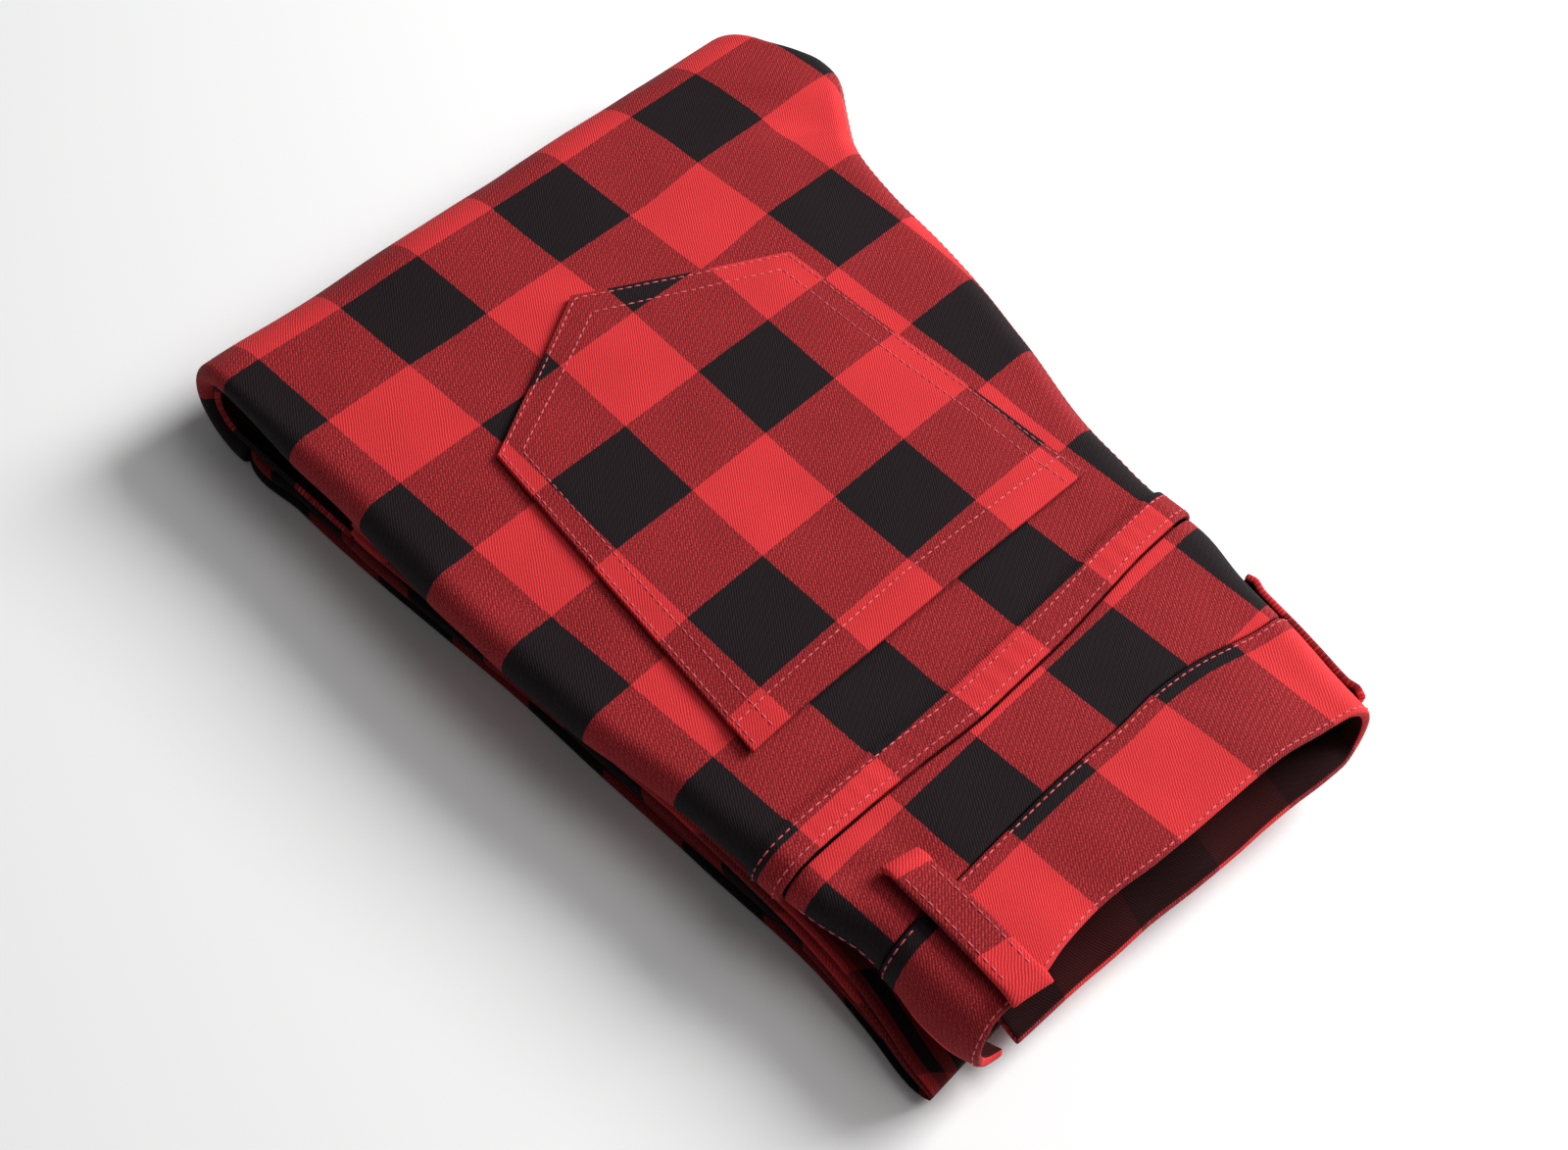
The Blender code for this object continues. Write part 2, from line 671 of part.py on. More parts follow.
def folded_layers():
    """Hidden layers as one rounded solid, layered at its edges and flat underneath."""
    stations = [-0.1648, -0.1620, -0.1570, -0.1510, -0.1460, -0.1457]
    stations += [-0.136, -0.126, -0.117, -0.108, -0.0985, -0.0955, -0.0945]
    stations += [-0.085, -0.073, -0.060, -0.045, -0.030, -0.015, 0.000, 0.015, 0.030, 0.045]
    stations += [0.060, 0.074, 0.088, 0.092, 0.096, 0.100, 0.104, 0.112, 0.120, 0.130]
    stations += [0.1360, 0.1392, 0.1417, 0.1431, 0.1438]
    sections = []
    for along in stations:
        ring = []
        for across, height in layers_section(along):
            if along < FOLD_INNER_START + 0.0001:
                reach = (FOLD_X - along) / FOLD_INNER_RADIUS
                squeeze = FOLD_INNER_RADIUS / FOLD_RADIUS * math.sqrt(max(0.0, 1 - max(0.0, reach) ** 2))
                height = FOLD_RADIUS + (height - FOLD_RADIUS) * squeeze
            if along > END_START:
                reach = (along - END_START) / (END_X + 0.0006 - END_START)
                squeeze = math.sqrt(1 - reach ** 2)
                height = END_HEIGHT + (height - END_HEIGHT) * squeeze
            ring.append(Vector((along - CENTRE_X, across - CENTRE_Y, height)))
        sections.append(ring)
    return closed_loft("folded_layers", sections, DARK_RED)


def main():
    for obj in list(bpy.data.objects):
        bpy.data.objects.remove(obj, do_unlink=True)
    collection = bpy.data.collections.new(COLLECTION)
    bpy.context.scene.collection.children.link(collection)
    back_panel()
    yoke()
    waistband()
    waistband_front()
    second_back_panel()
    second_leg()
    back_pocket()
    belt_loop_side()
    belt_loop_back()
    folded_layers()


main()
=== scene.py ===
# Finished looks of the folded slim fit jeans: cloth, check, weave, sewing, floor, light and camera.
# Along runs towards the waist, across towards the centre back, z is up.

import math
import random

import bpy
from mathutils import Matrix, Vector, noise


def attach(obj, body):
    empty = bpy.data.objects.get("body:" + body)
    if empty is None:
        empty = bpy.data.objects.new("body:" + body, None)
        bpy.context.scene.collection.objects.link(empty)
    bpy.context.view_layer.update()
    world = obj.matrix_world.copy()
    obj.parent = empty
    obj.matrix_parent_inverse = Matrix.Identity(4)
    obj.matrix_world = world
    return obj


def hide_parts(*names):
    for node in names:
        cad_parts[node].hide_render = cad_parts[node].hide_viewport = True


# Sizes in metres
TOP = 0.038
FOLD_RADIUS = 0.5 * TOP
FOLD_X = -0.150
CLOTH = 0.0020
BAND_CLOTH = 0.0030
SEAM_GAP = 0.0003
TUCK = 0.012
LAP_WIDTH = 0.0120
EDGE_TURN = 7.0
CENTRE_SEAM_TURN = 88.0
LAP_RISE = 0.0014
CENTRE_X = -0.00060
CENTRE_Y = 0.00105

# Rows of the cloth walls; the lapped strip's rows are a distance back from the seam and a share of the rise
FLAT_ROWS = 22
YOKE_ROWS = 4
CROTCH_ROW = 3
LAP_ROWS = ((0.0120, 0.8), (0.0108, 1.0), (0.0060, 1.0), (0.0010, 1.0), (0.0, 0.7))

# Plan of the top half at each station along the leg, before it is bent round the thigh fold.
# along, left edge, radius of the left roll, right edge, radius of the right roll
OUTLINE = (
    (-0.2140, -0.1205, 0.0036, 0.1060, 0.0050),
    (-0.1800, -0.1205, 0.0036, 0.1120, 0.0052),
    (-0.1500, -0.1212, 0.0038, 0.1190, 0.0058),
    (-0.1380, -0.1215, 0.0044, 0.1255, 0.0066),
    (-0.1280, -0.1218, 0.0052, 0.1285, 0.0074),
    (-0.1190, -0.1220, 0.0060, 0.1270, 0.0086),
    (-0.1100, -0.1222, 0.0066, 0.1205, 0.0102),
    (-0.1020, -0.1224, 0.0071, 0.1145, 0.0114),
    (-0.0940, -0.1227, 0.0074, 0.1090, 0.0122),
    (-0.0850, -0.1232, 0.0075, 0.1050, 0.0128),
    (-0.0700, -0.1242, 0.0075, 0.1010, 0.0130),
    (-0.0450, -0.1262, 0.0075, 0.0970, 0.0130),
    (-0.0230, -0.1262, 0.0075, 0.0915, 0.0130),
    (0.0030, -0.1262, 0.0075, 0.0840, 0.0130),
    (0.0330, -0.1238, 0.0075, 0.0740, 0.0130),
    (0.0500, -0.1220, 0.0076, 0.0690, 0.0129),
    (0.0680, -0.1206, 0.0079, 0.0650, 0.0128),
    (0.0930, -0.1192, 0.0088, 0.0640, 0.0124),
    (0.1080, -0.1172, 0.0100, 0.0602, 0.0120),
    (0.1200, -0.1176, 0.0113, 0.0575, 0.0117),
    (0.1300, -0.1188, 0.0125, 0.0550, 0.0114),
    (0.1400, -0.1184, 0.0132, 0.0522, 0.0112),
    (0.1480, -0.1162, 0.0136, 0.0500, 0.0110),
    (0.1700, -0.1140, 0.0136, 0.0465, 0.0110),
)

# Seams and edges that cross the garment: across, along
YOKE_SEAM = (
    (-0.130, 0.0815), (-0.110, 0.0815), (-0.094, 0.0820), (-0.070, 0.0834),
    (-0.038, 0.0858), (-0.010, 0.0858), (0.019, 0.0844), (0.038, 0.0836), (0.080, 0.0845),
)
BAND_SEAM = (
    (-0.130, 0.1140), (-0.100, 0.1130), (-0.077, 0.1130), (-0.042, 0.1134),
    (-0.017, 0.1150), (0.002, 0.1152), (0.017, 0.1174), (0.031, 0.1212),
    (0.043, 0.1244), (0.080, 0.1270),
)
BAND_EDGE = (
    (-0.110, 0.1462), (-0.093, 0.1476), (-0.081, 0.1462), (-0.068, 0.1457),
    (-0.056, 0.1468), (-0.045, 0.1488), (-0.030, 0.1506), (-0.016, 0.1520),
    (0.000, 0.1536), (0.011, 0.1550), (0.025, 0.1582), (0.034, 0.1602),
    (0.042, 0.1624), (0.060, 0.1640), (0.080, 0.1645),
)
LOWER_EDGE = (
    (-0.110, 0.1512), (-0.100, 0.1518), (-0.074, 0.1538), (-0.059, 0.1556),
    (-0.045, 0.1568), (-0.027, 0.1597), (-0.010, 0.1617), (0.000, 0.1626),
    (0.0145, 0.1644), (0.025, 0.1662), (0.036, 0.1674), (0.046, 0.1676), (0.080, 0.1655),
)
BAND_WIDTH = 0.038
LOWER_DROP = 0.0050
LOWER_RUN = 0.1380
BAND_JOIN = -0.0969
FRONT_REACH = 0.0042
BAND_ROWS = ((0.0, 0.0), (0.04, 0.0005), (0.35, 0.0005), (0.65, 0.0005), (0.96, 0.0005), (1.0, 0.0))

# Largest soft folds of the top: along, across, length, width, rise, turn in degrees
FOLDS = (
    (-0.108, 0.100, 0.020, 0.0060, -0.0022, 62.0),
    (-0.128, 0.104, 0.022, 0.0100, 0.0012, 50.0),
    (-0.120, -0.060, 0.050, 0.0160, -0.0008, 20.0),
    (0.066, -0.050, 0.045, 0.0100, -0.0008, 80.0),
    (0.100, -0.088, 0.014, 0.0060, -0.0014, 15.0),
    (0.142, -0.066, 0.022, 0.0140, -0.0020, 0.0),
    (0.146, 0.004, 0.026, 0.0200, 0.0016, 5.0),
    (0.140, 0.034, 0.022, 0.0080, -0.0008, -10.0),
)

# Back pocket: across and along at its corners, on the panel
POCKET_TIP = (-0.0198, -0.1047)
POCKET_LEFT_LOW = (-0.0805, -0.0735)
POCKET_RIGHT_LOW = (0.0465, -0.0710)
POCKET_LEFT_TOP = (-0.0995, 0.0490)
POCKET_RIGHT_TOP = (0.0475, 0.0530)
POCKET_CLOTH = 0.0018
POCKET_REST = 0.0005
POCKET_HEM = 0.0130
POCKET_HEM_RISE = 0.0007
POCKET_MOUTH_RISE = 0.0022

# Belt loops
LOOP_WIDTH = 0.0130
LOOP_CLOTH = 0.0024
LOOP_REST = 0.0012
LOOP_RISE = 0.0016
SIDE_LOOP_START = (0.0978, -0.0942)
SIDE_LOOP_END = (0.1496, -0.0990)
BACK_LOOP_START = 0.1085
BACK_LOOP_END = 0.1600
BACK_LOOP_ANGLE = 104.0
BACK_LOOP_SLACK = 0.4

# Folded legs below: along, left edge, right edge
LOWER_OUTLINE = (
    (-0.1700, -0.0930, 0.0960),
    (-0.1457, -0.1200, 0.1000),
    (-0.1200, -0.1210, 0.1040),
    (-0.0900, -0.1215, 0.0980),
    (-0.0500, -0.1200, 0.0920),
    (0.0000, -0.1190, 0.0830),
    (0.0500, -0.1190, 0.0740),
    (0.0900, -0.1195, 0.0690),
    (0.1200, -0.1225, 0.0640),
    (0.1350, -0.1254, 0.0610),
    (0.1500, -0.1262, 0.0580),
)
LEFT_LAYERS = 3
RIGHT_LAYERS = 2
LAYER_GROOVE = 0.0034
LAYER_CLEARANCE = 0.0006
FLOOR_CLEARANCE = 0.0014
INNER_CLEARANCE = 0.0045
RECESS_START = -0.0955
RECESS_Y = -0.0940
FOLD_INNER_START = -0.1460
FOLD_INNER_RADIUS = 0.0155
FOLD_INNER_LEFT = -0.0920
FOLD_INNER_RIGHT = 0.0960
CAVITY_START = 0.0880
CAVITY_FULL = 0.1040
END_START = 0.1360
END_X = 0.1438
END_HEIGHT = 0.0052

# Camera
CAMERA_PLACE = (0.20745, -0.3406, 0.5352)
CAMERA_RIGHT = (0.7318, 0.6726, 0.1102)
CAMERA_FORWARD = (-0.3175, 0.4796, -0.8181)
LENS = 47.6

# Check: one cell, and the place of the panel's check, in cells
CELL = 0.032
CELLS_ALONG = 4.7
CELLS_ACROSS = 0.35
LAP_SHIFT = (0.0, 0.0)
PULL_ALONG = 0.075
PULL_ACROSS = -0.080
FRONT_BAND_SHIFT = 0.0
YARN_STRAY = 0.0006

# Twill: pitch of its lines and of the floats on them, and their direction on the cloth
TWILL_PITCH = 0.00078
DASH_PITCH = 0.0034
DASH_STEP = 0.37
TWILL_SIDE = 0.581
TWILL_RUN = 0.814

# Colours
RED = (0.755, 0.040, 0.047, 1.0)
# Red cells: the darker red is painted shadow in the twill grooves, the lighter pink red painted highlight on
# the floats
RED_PAINTED_GROOVE_SHADOW = (0.53, 0.016, 0.020, 1.0)
RED_PAINTED_FLOAT_HIGHLIGHT = (0.86, 0.105, 0.105, 1.0)
MIXED = (0.285, 0.0105, 0.0140, 1.0)
MIXED_DEEP = (0.110, 0.0050, 0.0070, 1.0)
MIXED_FLOAT = (0.62, 0.056, 0.062, 1.0)
BLACK = (0.0080, 0.0038, 0.0052, 1.0)
# Black cells: a lighter reddish black on the floats, partly fuzz and partly painted highlight
BLACK_FUZZ_AND_PAINTED_HIGHLIGHT = (0.026, 0.019, 0.022, 1.0)
THREAD = (0.78, 0.14, 0.16, 1.0)
THREAD_DEEP = (0.60, 0.07, 0.09, 1.0)

# Small creases: along, across, length, width, rise, turn in degrees
CREASES = (
    (-0.104, 0.101, 0.012, 0.0030, -0.0010, 60.0),
    (-0.134, 0.088, 0.016, 0.0050, -0.0006, 40.0),
    (0.060, -0.100, 0.016, 0.0050, -0.0006, 70.0),
    (0.074, -0.085, 0.012, 0.0040, 0.0005, 80.0),
    (0.125, 0.010, 0.012, 0.0045, -0.0004, 20.0),
    (0.122, -0.050, 0.014, 0.0040, -0.0005, 60.0),
    (-0.030, -0.110, 0.026, 0.0050, -0.0005, 8.0),
    (0.0935, -0.1030, 0.0100, 0.0035, -0.0022, 75.0),
    (0.0890, -0.0990, 0.0120, 0.0040, 0.0009, 70.0),
)
WIDE_WAVE = 0.055
WIDE_RISE = 0.0009
NARROW_WAVE = 0.018
NARROW_RISE = 0.00022
EDGE_WAVE = 0.030
EDGE_WAVE_RISE = 0.0012
LAP_PUCKER = 0.00018
FINE_LAP_ROWS = (
    (0.0120, 0.8), (0.0112, 1.0), (0.0090, 1.0), (0.0070, 1.0), (0.0050, 1.0),
    (0.0030, 1.0), (0.0010, 1.0), (0.0, 0.7),
)

# Sewing: rows in from the edges, and the stitches
POCKET_ROWS = (0.0016, 0.0085)
POCKET_HEM_ROWS = (0.0105,)
LAP_STITCHES = (0.0024, 0.0098)
BAND_STITCHES = (0.045, 0.955)
CENTRE_STITCHES = (46.0, 76.0)
STITCH_PITCH = 0.0029
STITCH_LENGTH = 0.0022
STITCH_RINGS = 5
STITCH_WIDE = 0.00025
STITCH_HIGH = 0.00022
STITCH_SINK = 0.00030
STITCH_PROUD = 0.00008

# Edges of the folded layers
FINE_LEFT_LAYERS = 6
FINE_RIGHT_LAYERS = 4
LAYER_GROOVE_FINE = 0.0022
LAYER_BACKS = (0.0004, 0.0022, 0.0006, 0.0018, 0.0002, 0.0010)
LAYER_CELLS = (0.2, 1.7, 1.1, 2.1, 1.6, 0.5)
LAYER_ALONG = 4.4
LAYER_STEP = 0.3
LAYER_TURN = 2.4


def smooth_at(table, column, x):
    """Value of one column of a table at x, on a smooth curve through its rows."""
    rows = [(row[0], row[column]) for row in table]
    if x <= rows[0][0]:
        return rows[0][1]
    if x >= rows[-1][0]:
        return rows[-1][1]
    i = 0
    while rows[i + 1][0] < x:
        i += 1
    x0, y0 = rows[i]
    x1, y1 = rows[i + 1]
    span = x1 - x0
    slope = (y1 - y0) / span
    before = (y0 - rows[i - 1][1]) / (x0 - rows[i - 1][0]) if i > 0 else slope
    after = (rows[i + 2][1] - y1) / (rows[i + 2][0] - x1) if i + 2 < len(rows) else slope
    m0 = 0.5 * (before + slope) if before * slope > 0 else 0.0
    m1 = 0.5 * (after + slope) if after * slope > 0 else 0.0
    t = (x - x0) / span
    h0 = (1 + 2 * t) * (1 - t) ** 2
    h1 = t * (1 - t) ** 2
    h2 = t * t * (3 - 2 * t)
    h3 = t * t * (t - 1)
    return h0 * y0 + h1 * span * m0 + h2 * y1 + h3 * span * m1


def ease(t):
    """Smooth step from 0 to 1."""
    t = min(1.0, max(0.0, t))
    return t * t * (3 - 2 * t)


def mix(a, b, t):
    return a + (b - a) * t


def edges_at(along):
    """Left edge, left roll, right edge and right roll at a station."""
    return tuple(smooth_at(OUTLINE, column, along) for column in (1, 2, 3, 4))


def relief(along, across):
    """Rise of the soft folds at a point of the top."""
    rise = 0.0
    for row in FOLDS:
        turn = math.radians(row[5])
        dx = along - row[0]
        dy = across - row[1]
        u = (dx * math.cos(turn) + dy * math.sin(turn)) / row[2]
        v = (dy * math.cos(turn) - dx * math.sin(turn)) / row[3]
        rise += row[4] * math.exp(-u * u - v * v)
    return rise


def lower_depth(along, across):
    """Depth of the lower half of the waist below the top."""
    left, left_roll, right, right_roll = edges_at(along)
    flat_left = left + left_roll
    flat_right = right - right_roll
    share = ease((flat_right - across) / (flat_right - flat_left))
    return 2 * right_roll + LOWER_DROP * share * ease((along - 0.090) / 0.025)


def section(along, run):
    """Across, depth and outward direction at a distance run round the section.

    The run is the across value on the flat top and goes on round each rolled edge.
    """
    left, left_roll, right, right_roll = edges_at(along)
    flat_left = left + left_roll
    flat_right = right - right_roll
    if run < flat_left:
        angle = (flat_left - run) / left_roll
        if angle <= math.pi:
            across = flat_left - left_roll * math.sin(angle)
            depth = left_roll * (1 - math.cos(angle))
            return across, depth, -math.sin(angle), math.cos(angle)
        return flat_left + (angle - math.pi) * left_roll, 2 * left_roll, 0.0, -1.0
    if run > flat_right:
        angle = (run - flat_right) / right_roll
        if angle <= math.pi:
            across = flat_right + right_roll * math.sin(angle)
            depth = right_roll * (1 - math.cos(angle))
            return across, depth, math.sin(angle), math.cos(angle)
        across = flat_right - (angle - math.pi) * right_roll
        return across, lower_depth(along, across), 0.0, -1.0
    return run, 0.0, 0.0, 1.0


def bend(along, across, depth):
    """Point at a depth under the top, bent round the thigh fold where along is past it."""
    turn = (FOLD_X - along) / FOLD_RADIUS
    if turn <= 0:
        x, z = along, TOP - depth
    elif turn >= math.pi:
        x, z = FOLD_X + (turn - math.pi) * FOLD_RADIUS, depth
    else:
        radius = FOLD_RADIUS - depth
        x = FOLD_X - radius * math.sin(turn)
        z = FOLD_RADIUS + radius * math.cos(turn)
    return Vector((x - CENTRE_X, across - CENTRE_Y, z))


def place(along, run, lift=0.0):
    """Point on the outer face of the garment, moved out by lift."""
    across, depth, out_y, out_z = section(along, run)
    depth -= relief(along, across) * max(0.0, out_z) ** 2
    return bend(along, across + lift * out_y, depth - lift * out_z)


def run_at(along, column):
    """Run of a column, given as its part of the section and its place in that part."""
    part, value = column
    left, left_roll, right, right_roll = edges_at(along)
    flat_left = left + left_roll
    flat_right = right - right_roll
    if part == "flat":
        return mix(flat_left, flat_right, value)
    if part == "left":
        return flat_left - math.radians(value) * left_roll
    if part == "tuck":
        return flat_left - math.pi * left_roll - value
    if part == "right":
        return flat_right + math.radians(value) * right_roll
    if part == "at":
        return value
    return flat_right + math.pi * right_roll + value

def crossing(table, along_guess, column, inset=0.0):
    """Along value where a column meets a seam that crosses the garment."""
    along = along_guess
    for _ in range(3):
        across = section(along, run_at(along, column))[0]
        along = smooth_at(table, 1, across) + inset
    return along


def band_edges(column):
    """Seam and free edge of the waistband at a column, on the upper and the lower half."""
    part, value = column
    upper_edge = crossing(BAND_EDGE, 0.155, column)
    upper_seam = crossing(BAND_SEAM, 0.118, column)
    if part not in ("right", "return"):
        return upper_seam, upper_edge
    lower_edge = crossing(LOWER_EDGE, 0.160, column)
    share = ease(value / 180.0) if part == "right" else 1.0
    edge = mix(upper_edge, lower_edge, share)
    seam = mix(upper_seam, lower_edge - BAND_WIDTH, share)
    return seam, edge


def loop_lift(t, slack=1.0):
    """Rise of a belt loop along its length, sewn down at both ends."""
    return LOOP_REST + LOOP_CLOTH + slack * LOOP_RISE * max(0.0, math.sin(math.pi * t)) ** 0.6


def fine_relief(along, across):
    """Rise of the small creases and of the slight unevenness of the cloth."""
    rise = 0.0
    for row in CREASES:
        turn = math.radians(row[5])
        dx = along - row[0]
        dy = across - row[1]
        u = (dx * math.cos(turn) + dy * math.sin(turn)) / row[2]
        v = (dy * math.cos(turn) - dx * math.sin(turn)) / row[3]
        far = u * u + v * v
        if far < 9.0:
            rise += row[4] * math.exp(-far)
    wide = noise.noise(Vector((along / WIDE_WAVE, across / WIDE_WAVE, 3.1)))
    narrow = noise.noise(Vector((along / NARROW_WAVE, across / NARROW_WAVE, 8.7)))
    return rise + WIDE_RISE * wide + NARROW_RISE * narrow


def shown(along, run, lift=0.0):
    """Point on the finished face of the garment: the plain form with its small creases."""
    left, left_roll, right, right_roll = edges_at(along)
    over = max(left + left_roll - run, run - right + right_roll, 0.0)
    share = ease(1.0 - over / 0.022)
    rise = fine_relief(along, run) * share
    if over > 0.0:
        rise += EDGE_WAVE_RISE * noise.noise(Vector((along / EDGE_WAVE, over / 0.02, 5.5))) * ease(over / 0.01)
    return place(along, run, lift + rise)


# Materials

def node(tree, kind, **sockets):
    made = tree.nodes.new(kind)
    for name, value in sockets.items():
        if hasattr(value, "links"):
            tree.links.new(value, made.inputs[name])
        else:
            made.inputs[name].default_value = value
    return made


def maths(tree, operation, a, b=None, clamp=False):
    made = tree.nodes.new("ShaderNodeMath")
    made.operation = operation
    made.use_clamp = clamp
    for i, value in enumerate((a, b)):
        if value is None:
            continue
        if hasattr(value, "links"):
            tree.links.new(value, made.inputs[i])
        else:
            made.inputs[i].default_value = value
    return made.outputs[0]


def blend_colour(tree, factor, a, b):
    made = tree.nodes.new("ShaderNodeMix")
    made.data_type = "RGBA"
    sockets = {"Factor": made.inputs[0], "A": made.inputs[6], "B": made.inputs[7]}
    for name, value in (("Factor", factor), ("A", a), ("B", b)):
        if hasattr(value, "links"):
            tree.links.new(value, sockets[name])
        else:
            sockets[name].default_value = value
    return made.outputs[2]


def rescale(tree, value, low, high, out_low=0.0, out_high=1.0):
    made = tree.nodes.new("ShaderNodeMapRange")
    made.interpolation_type = "SMOOTHSTEP"
    tree.links.new(value, made.inputs["Value"])
    made.inputs["From Min"].default_value = low
    made.inputs["From Max"].default_value = high
    made.inputs["To Min"].default_value = out_low
    made.inputs["To Max"].default_value = out_high
    return made.outputs["Result"]


def noise_at(tree, vector, scale, detail=2.0, roughness=0.5):
    made = tree.nodes.new("ShaderNodeTexNoise")
    tree.links.new(vector, made.inputs["Vector"])
    made.inputs["Scale"].default_value = scale
    made.inputs["Detail"].default_value = detail
    made.inputs["Roughness"].default_value = roughness
    return made.outputs["Fac"]


def even_cell(tree, value):
    """1 in the even cells of the check and 0 in the odd ones."""
    half = maths(tree, "FRACT", maths(tree, "MULTIPLY", value, 0.5))
    return maths(tree, "LESS_THAN", half, 0.5)


def check_cloth(name, shade=1.0, inside=False):
    """Twill in a red and black buffalo check, read from the cloth's own cells; shade below 1 darkens all of it
    as painted shade, and the red and black cells carry painted shadow and highlight on their twill.
    """
    mat = bpy.data.materials.new(name)
    mat.use_nodes = True
    tree = mat.node_tree
    shader = tree.nodes["Principled BSDF"]
    place_in = tree.nodes.new("ShaderNodeUVMap")
    place_in.uv_map = "cells"
    cells = place_in.outputs["UV"]
    metres = tree.nodes.new("ShaderNodeVectorMath")
    metres.operation = "SCALE"
    tree.links.new(cells, metres.inputs[0])
    metres.inputs["Scale"].default_value = CELL
    ground = metres.outputs[0]
    apart = tree.nodes.new("ShaderNodeSeparateXYZ")
    tree.links.new(cells, apart.inputs[0])
    ragged = noise_at(tree, ground, 900.0, 1.0)
    stray = maths(tree, "MULTIPLY", maths(tree, "SUBTRACT", ragged, 0.5), YARN_STRAY / CELL)
    u = maths(tree, "ADD", apart.outputs["X"], stray)
    v = maths(tree, "ADD", apart.outputs["Y"], stray)
    even_u = even_cell(tree, u)
    even_v = even_cell(tree, v)
    black = maths(tree, "MULTIPLY", even_u, even_v)
    either = maths(tree, "MAXIMUM", even_u, even_v)
    red = maths(tree, "SUBTRACT", 1.0, either)
    drift = noise_at(tree, ground, 210.0, 2.0)
    bow = maths(tree, "MULTIPLY", maths(tree, "SUBTRACT", drift, 0.5), 0.9)
    across_line = maths(tree, "ADD",
                        maths(tree, "MULTIPLY", apart.outputs["X"], TWILL_SIDE * CELL / TWILL_PITCH),
                        maths(tree, "MULTIPLY", apart.outputs["Y"], TWILL_RUN * CELL / TWILL_PITCH))
    line = maths(tree, "ADD", across_line, bow)
    wave = maths(tree, "SINE", maths(tree, "MULTIPLY", line, 2 * math.pi))
    ridge = rescale(tree, wave, -0.7, 0.8)
    along_line = maths(tree, "SUBTRACT",
                       maths(tree, "MULTIPLY", apart.outputs["X"], TWILL_RUN * CELL / DASH_PITCH),
                       maths(tree, "MULTIPLY", apart.outputs["Y"], TWILL_SIDE * CELL / DASH_PITCH))
    step = maths(tree, "MULTIPLY", maths(tree, "FLOOR", line), DASH_STEP)
    dash_wave = maths(tree, "SINE", maths(tree, "MULTIPLY", maths(tree, "ADD", along_line, step), 2 * math.pi))
    dash = rescale(tree, dash_wave, -0.6, 0.5, 0.45, 1.0)
    speck = noise_at(tree, ground, 1900.0, 1.0)
    speckle = rescale(tree, speck, 0.34, 0.62, 0.2, 1.0)
    float_mask = maths(tree, "MULTIPLY", maths(tree, "MULTIPLY", ridge, dash), speckle)
    mixed = blend_colour(tree, rescale(tree, speck, 0.25, 0.7), MIXED_DEEP, MIXED)
    mixed = blend_colour(tree, maths(tree, "MULTIPLY", float_mask, 0.8), mixed, MIXED_FLOAT)
    # Red cells: darker in the grooves as painted shadow, lighter on the float ridges and specks as painted
    # highlight
    bright = blend_colour(tree, maths(tree, "MULTIPLY", ridge, 0.75), RED_PAINTED_GROOVE_SHADOW, RED)
    bright = blend_colour(tree, maths(tree, "MULTIPLY", maths(tree, "MULTIPLY", ridge, speckle), 0.35),
                          bright, RED_PAINTED_FLOAT_HIGHLIGHT)
    # Black cells: lighter on the floats, partly fuzz and partly painted highlight
    dark = blend_colour(tree, maths(tree, "MULTIPLY", float_mask, 0.6), BLACK, BLACK_FUZZ_AND_PAINTED_HIGHLIGHT)
    colour = blend_colour(tree, red, mixed, bright)
    colour = blend_colour(tree, black, colour, dark)
    cloudy = noise_at(tree, ground, 34.0, 3.0)
    # Random cloudy tone, times shade: a shade below 1 is painted shade
    light = rescale(tree, cloudy, 0.25, 0.75, 0.93 * shade, 1.04 * shade)
    value = tree.nodes.new("ShaderNodeHueSaturation")
    tree.links.new(colour, value.inputs["Color"])
    tree.links.new(light, value.inputs["Value"])
    tree.links.new(value.outputs["Color"], shader.inputs["Base Color"])
    tree.links.new(rescale(tree, speck, 0.2, 0.8, 0.80, 0.95), shader.inputs["Roughness"])
    shader.inputs["Specular IOR Level"].default_value = 0.16
    shader.inputs["Sheen Weight"].default_value = 0.015 if not inside else 0.0
    shader.inputs["Sheen Roughness"].default_value = 0.5
    height = maths(tree, "ADD", maths(tree, "MULTIPLY", ridge, 0.7), maths(tree, "MULTIPLY", speck, 0.5))
    bump = tree.nodes.new("ShaderNodeBump")
    bump.inputs["Strength"].default_value = 0.8
    bump.inputs["Distance"].default_value = 0.00016
    tree.links.new(height, bump.inputs["Height"])
    tree.links.new(bump.outputs["Normal"], shader.inputs["Normal"])
    return mat


def thread():
    """Sewing thread: pinkish red, twisted."""
    mat = bpy.data.materials.new("sewing_thread")
    mat.use_nodes = True
    tree = mat.node_tree
    shader = tree.nodes["Principled BSDF"]
    spot = tree.nodes.new("ShaderNodeTexCoord").outputs["Object"]
    change = noise_at(tree, spot, 420.0, 1.0)
    colour = blend_colour(tree, rescale(tree, change, 0.3, 0.7), THREAD_DEEP, THREAD)
    tree.links.new(colour, shader.inputs["Base Color"])
    shader.inputs["Roughness"].default_value = 0.6
    twist = tree.nodes.new("ShaderNodeTexWave")
    tree.links.new(spot, twist.inputs["Vector"])
    twist.inputs["Scale"].default_value = 900.0
    bump = tree.nodes.new("ShaderNodeBump")
    bump.inputs["Strength"].default_value = 0.4
    bump.inputs["Distance"].default_value = 0.0001
    tree.links.new(twist.outputs["Fac"], bump.inputs["Height"])
    tree.links.new(bump.outputs["Normal"], shader.inputs["Normal"])
    return mat


# Cloth pieces

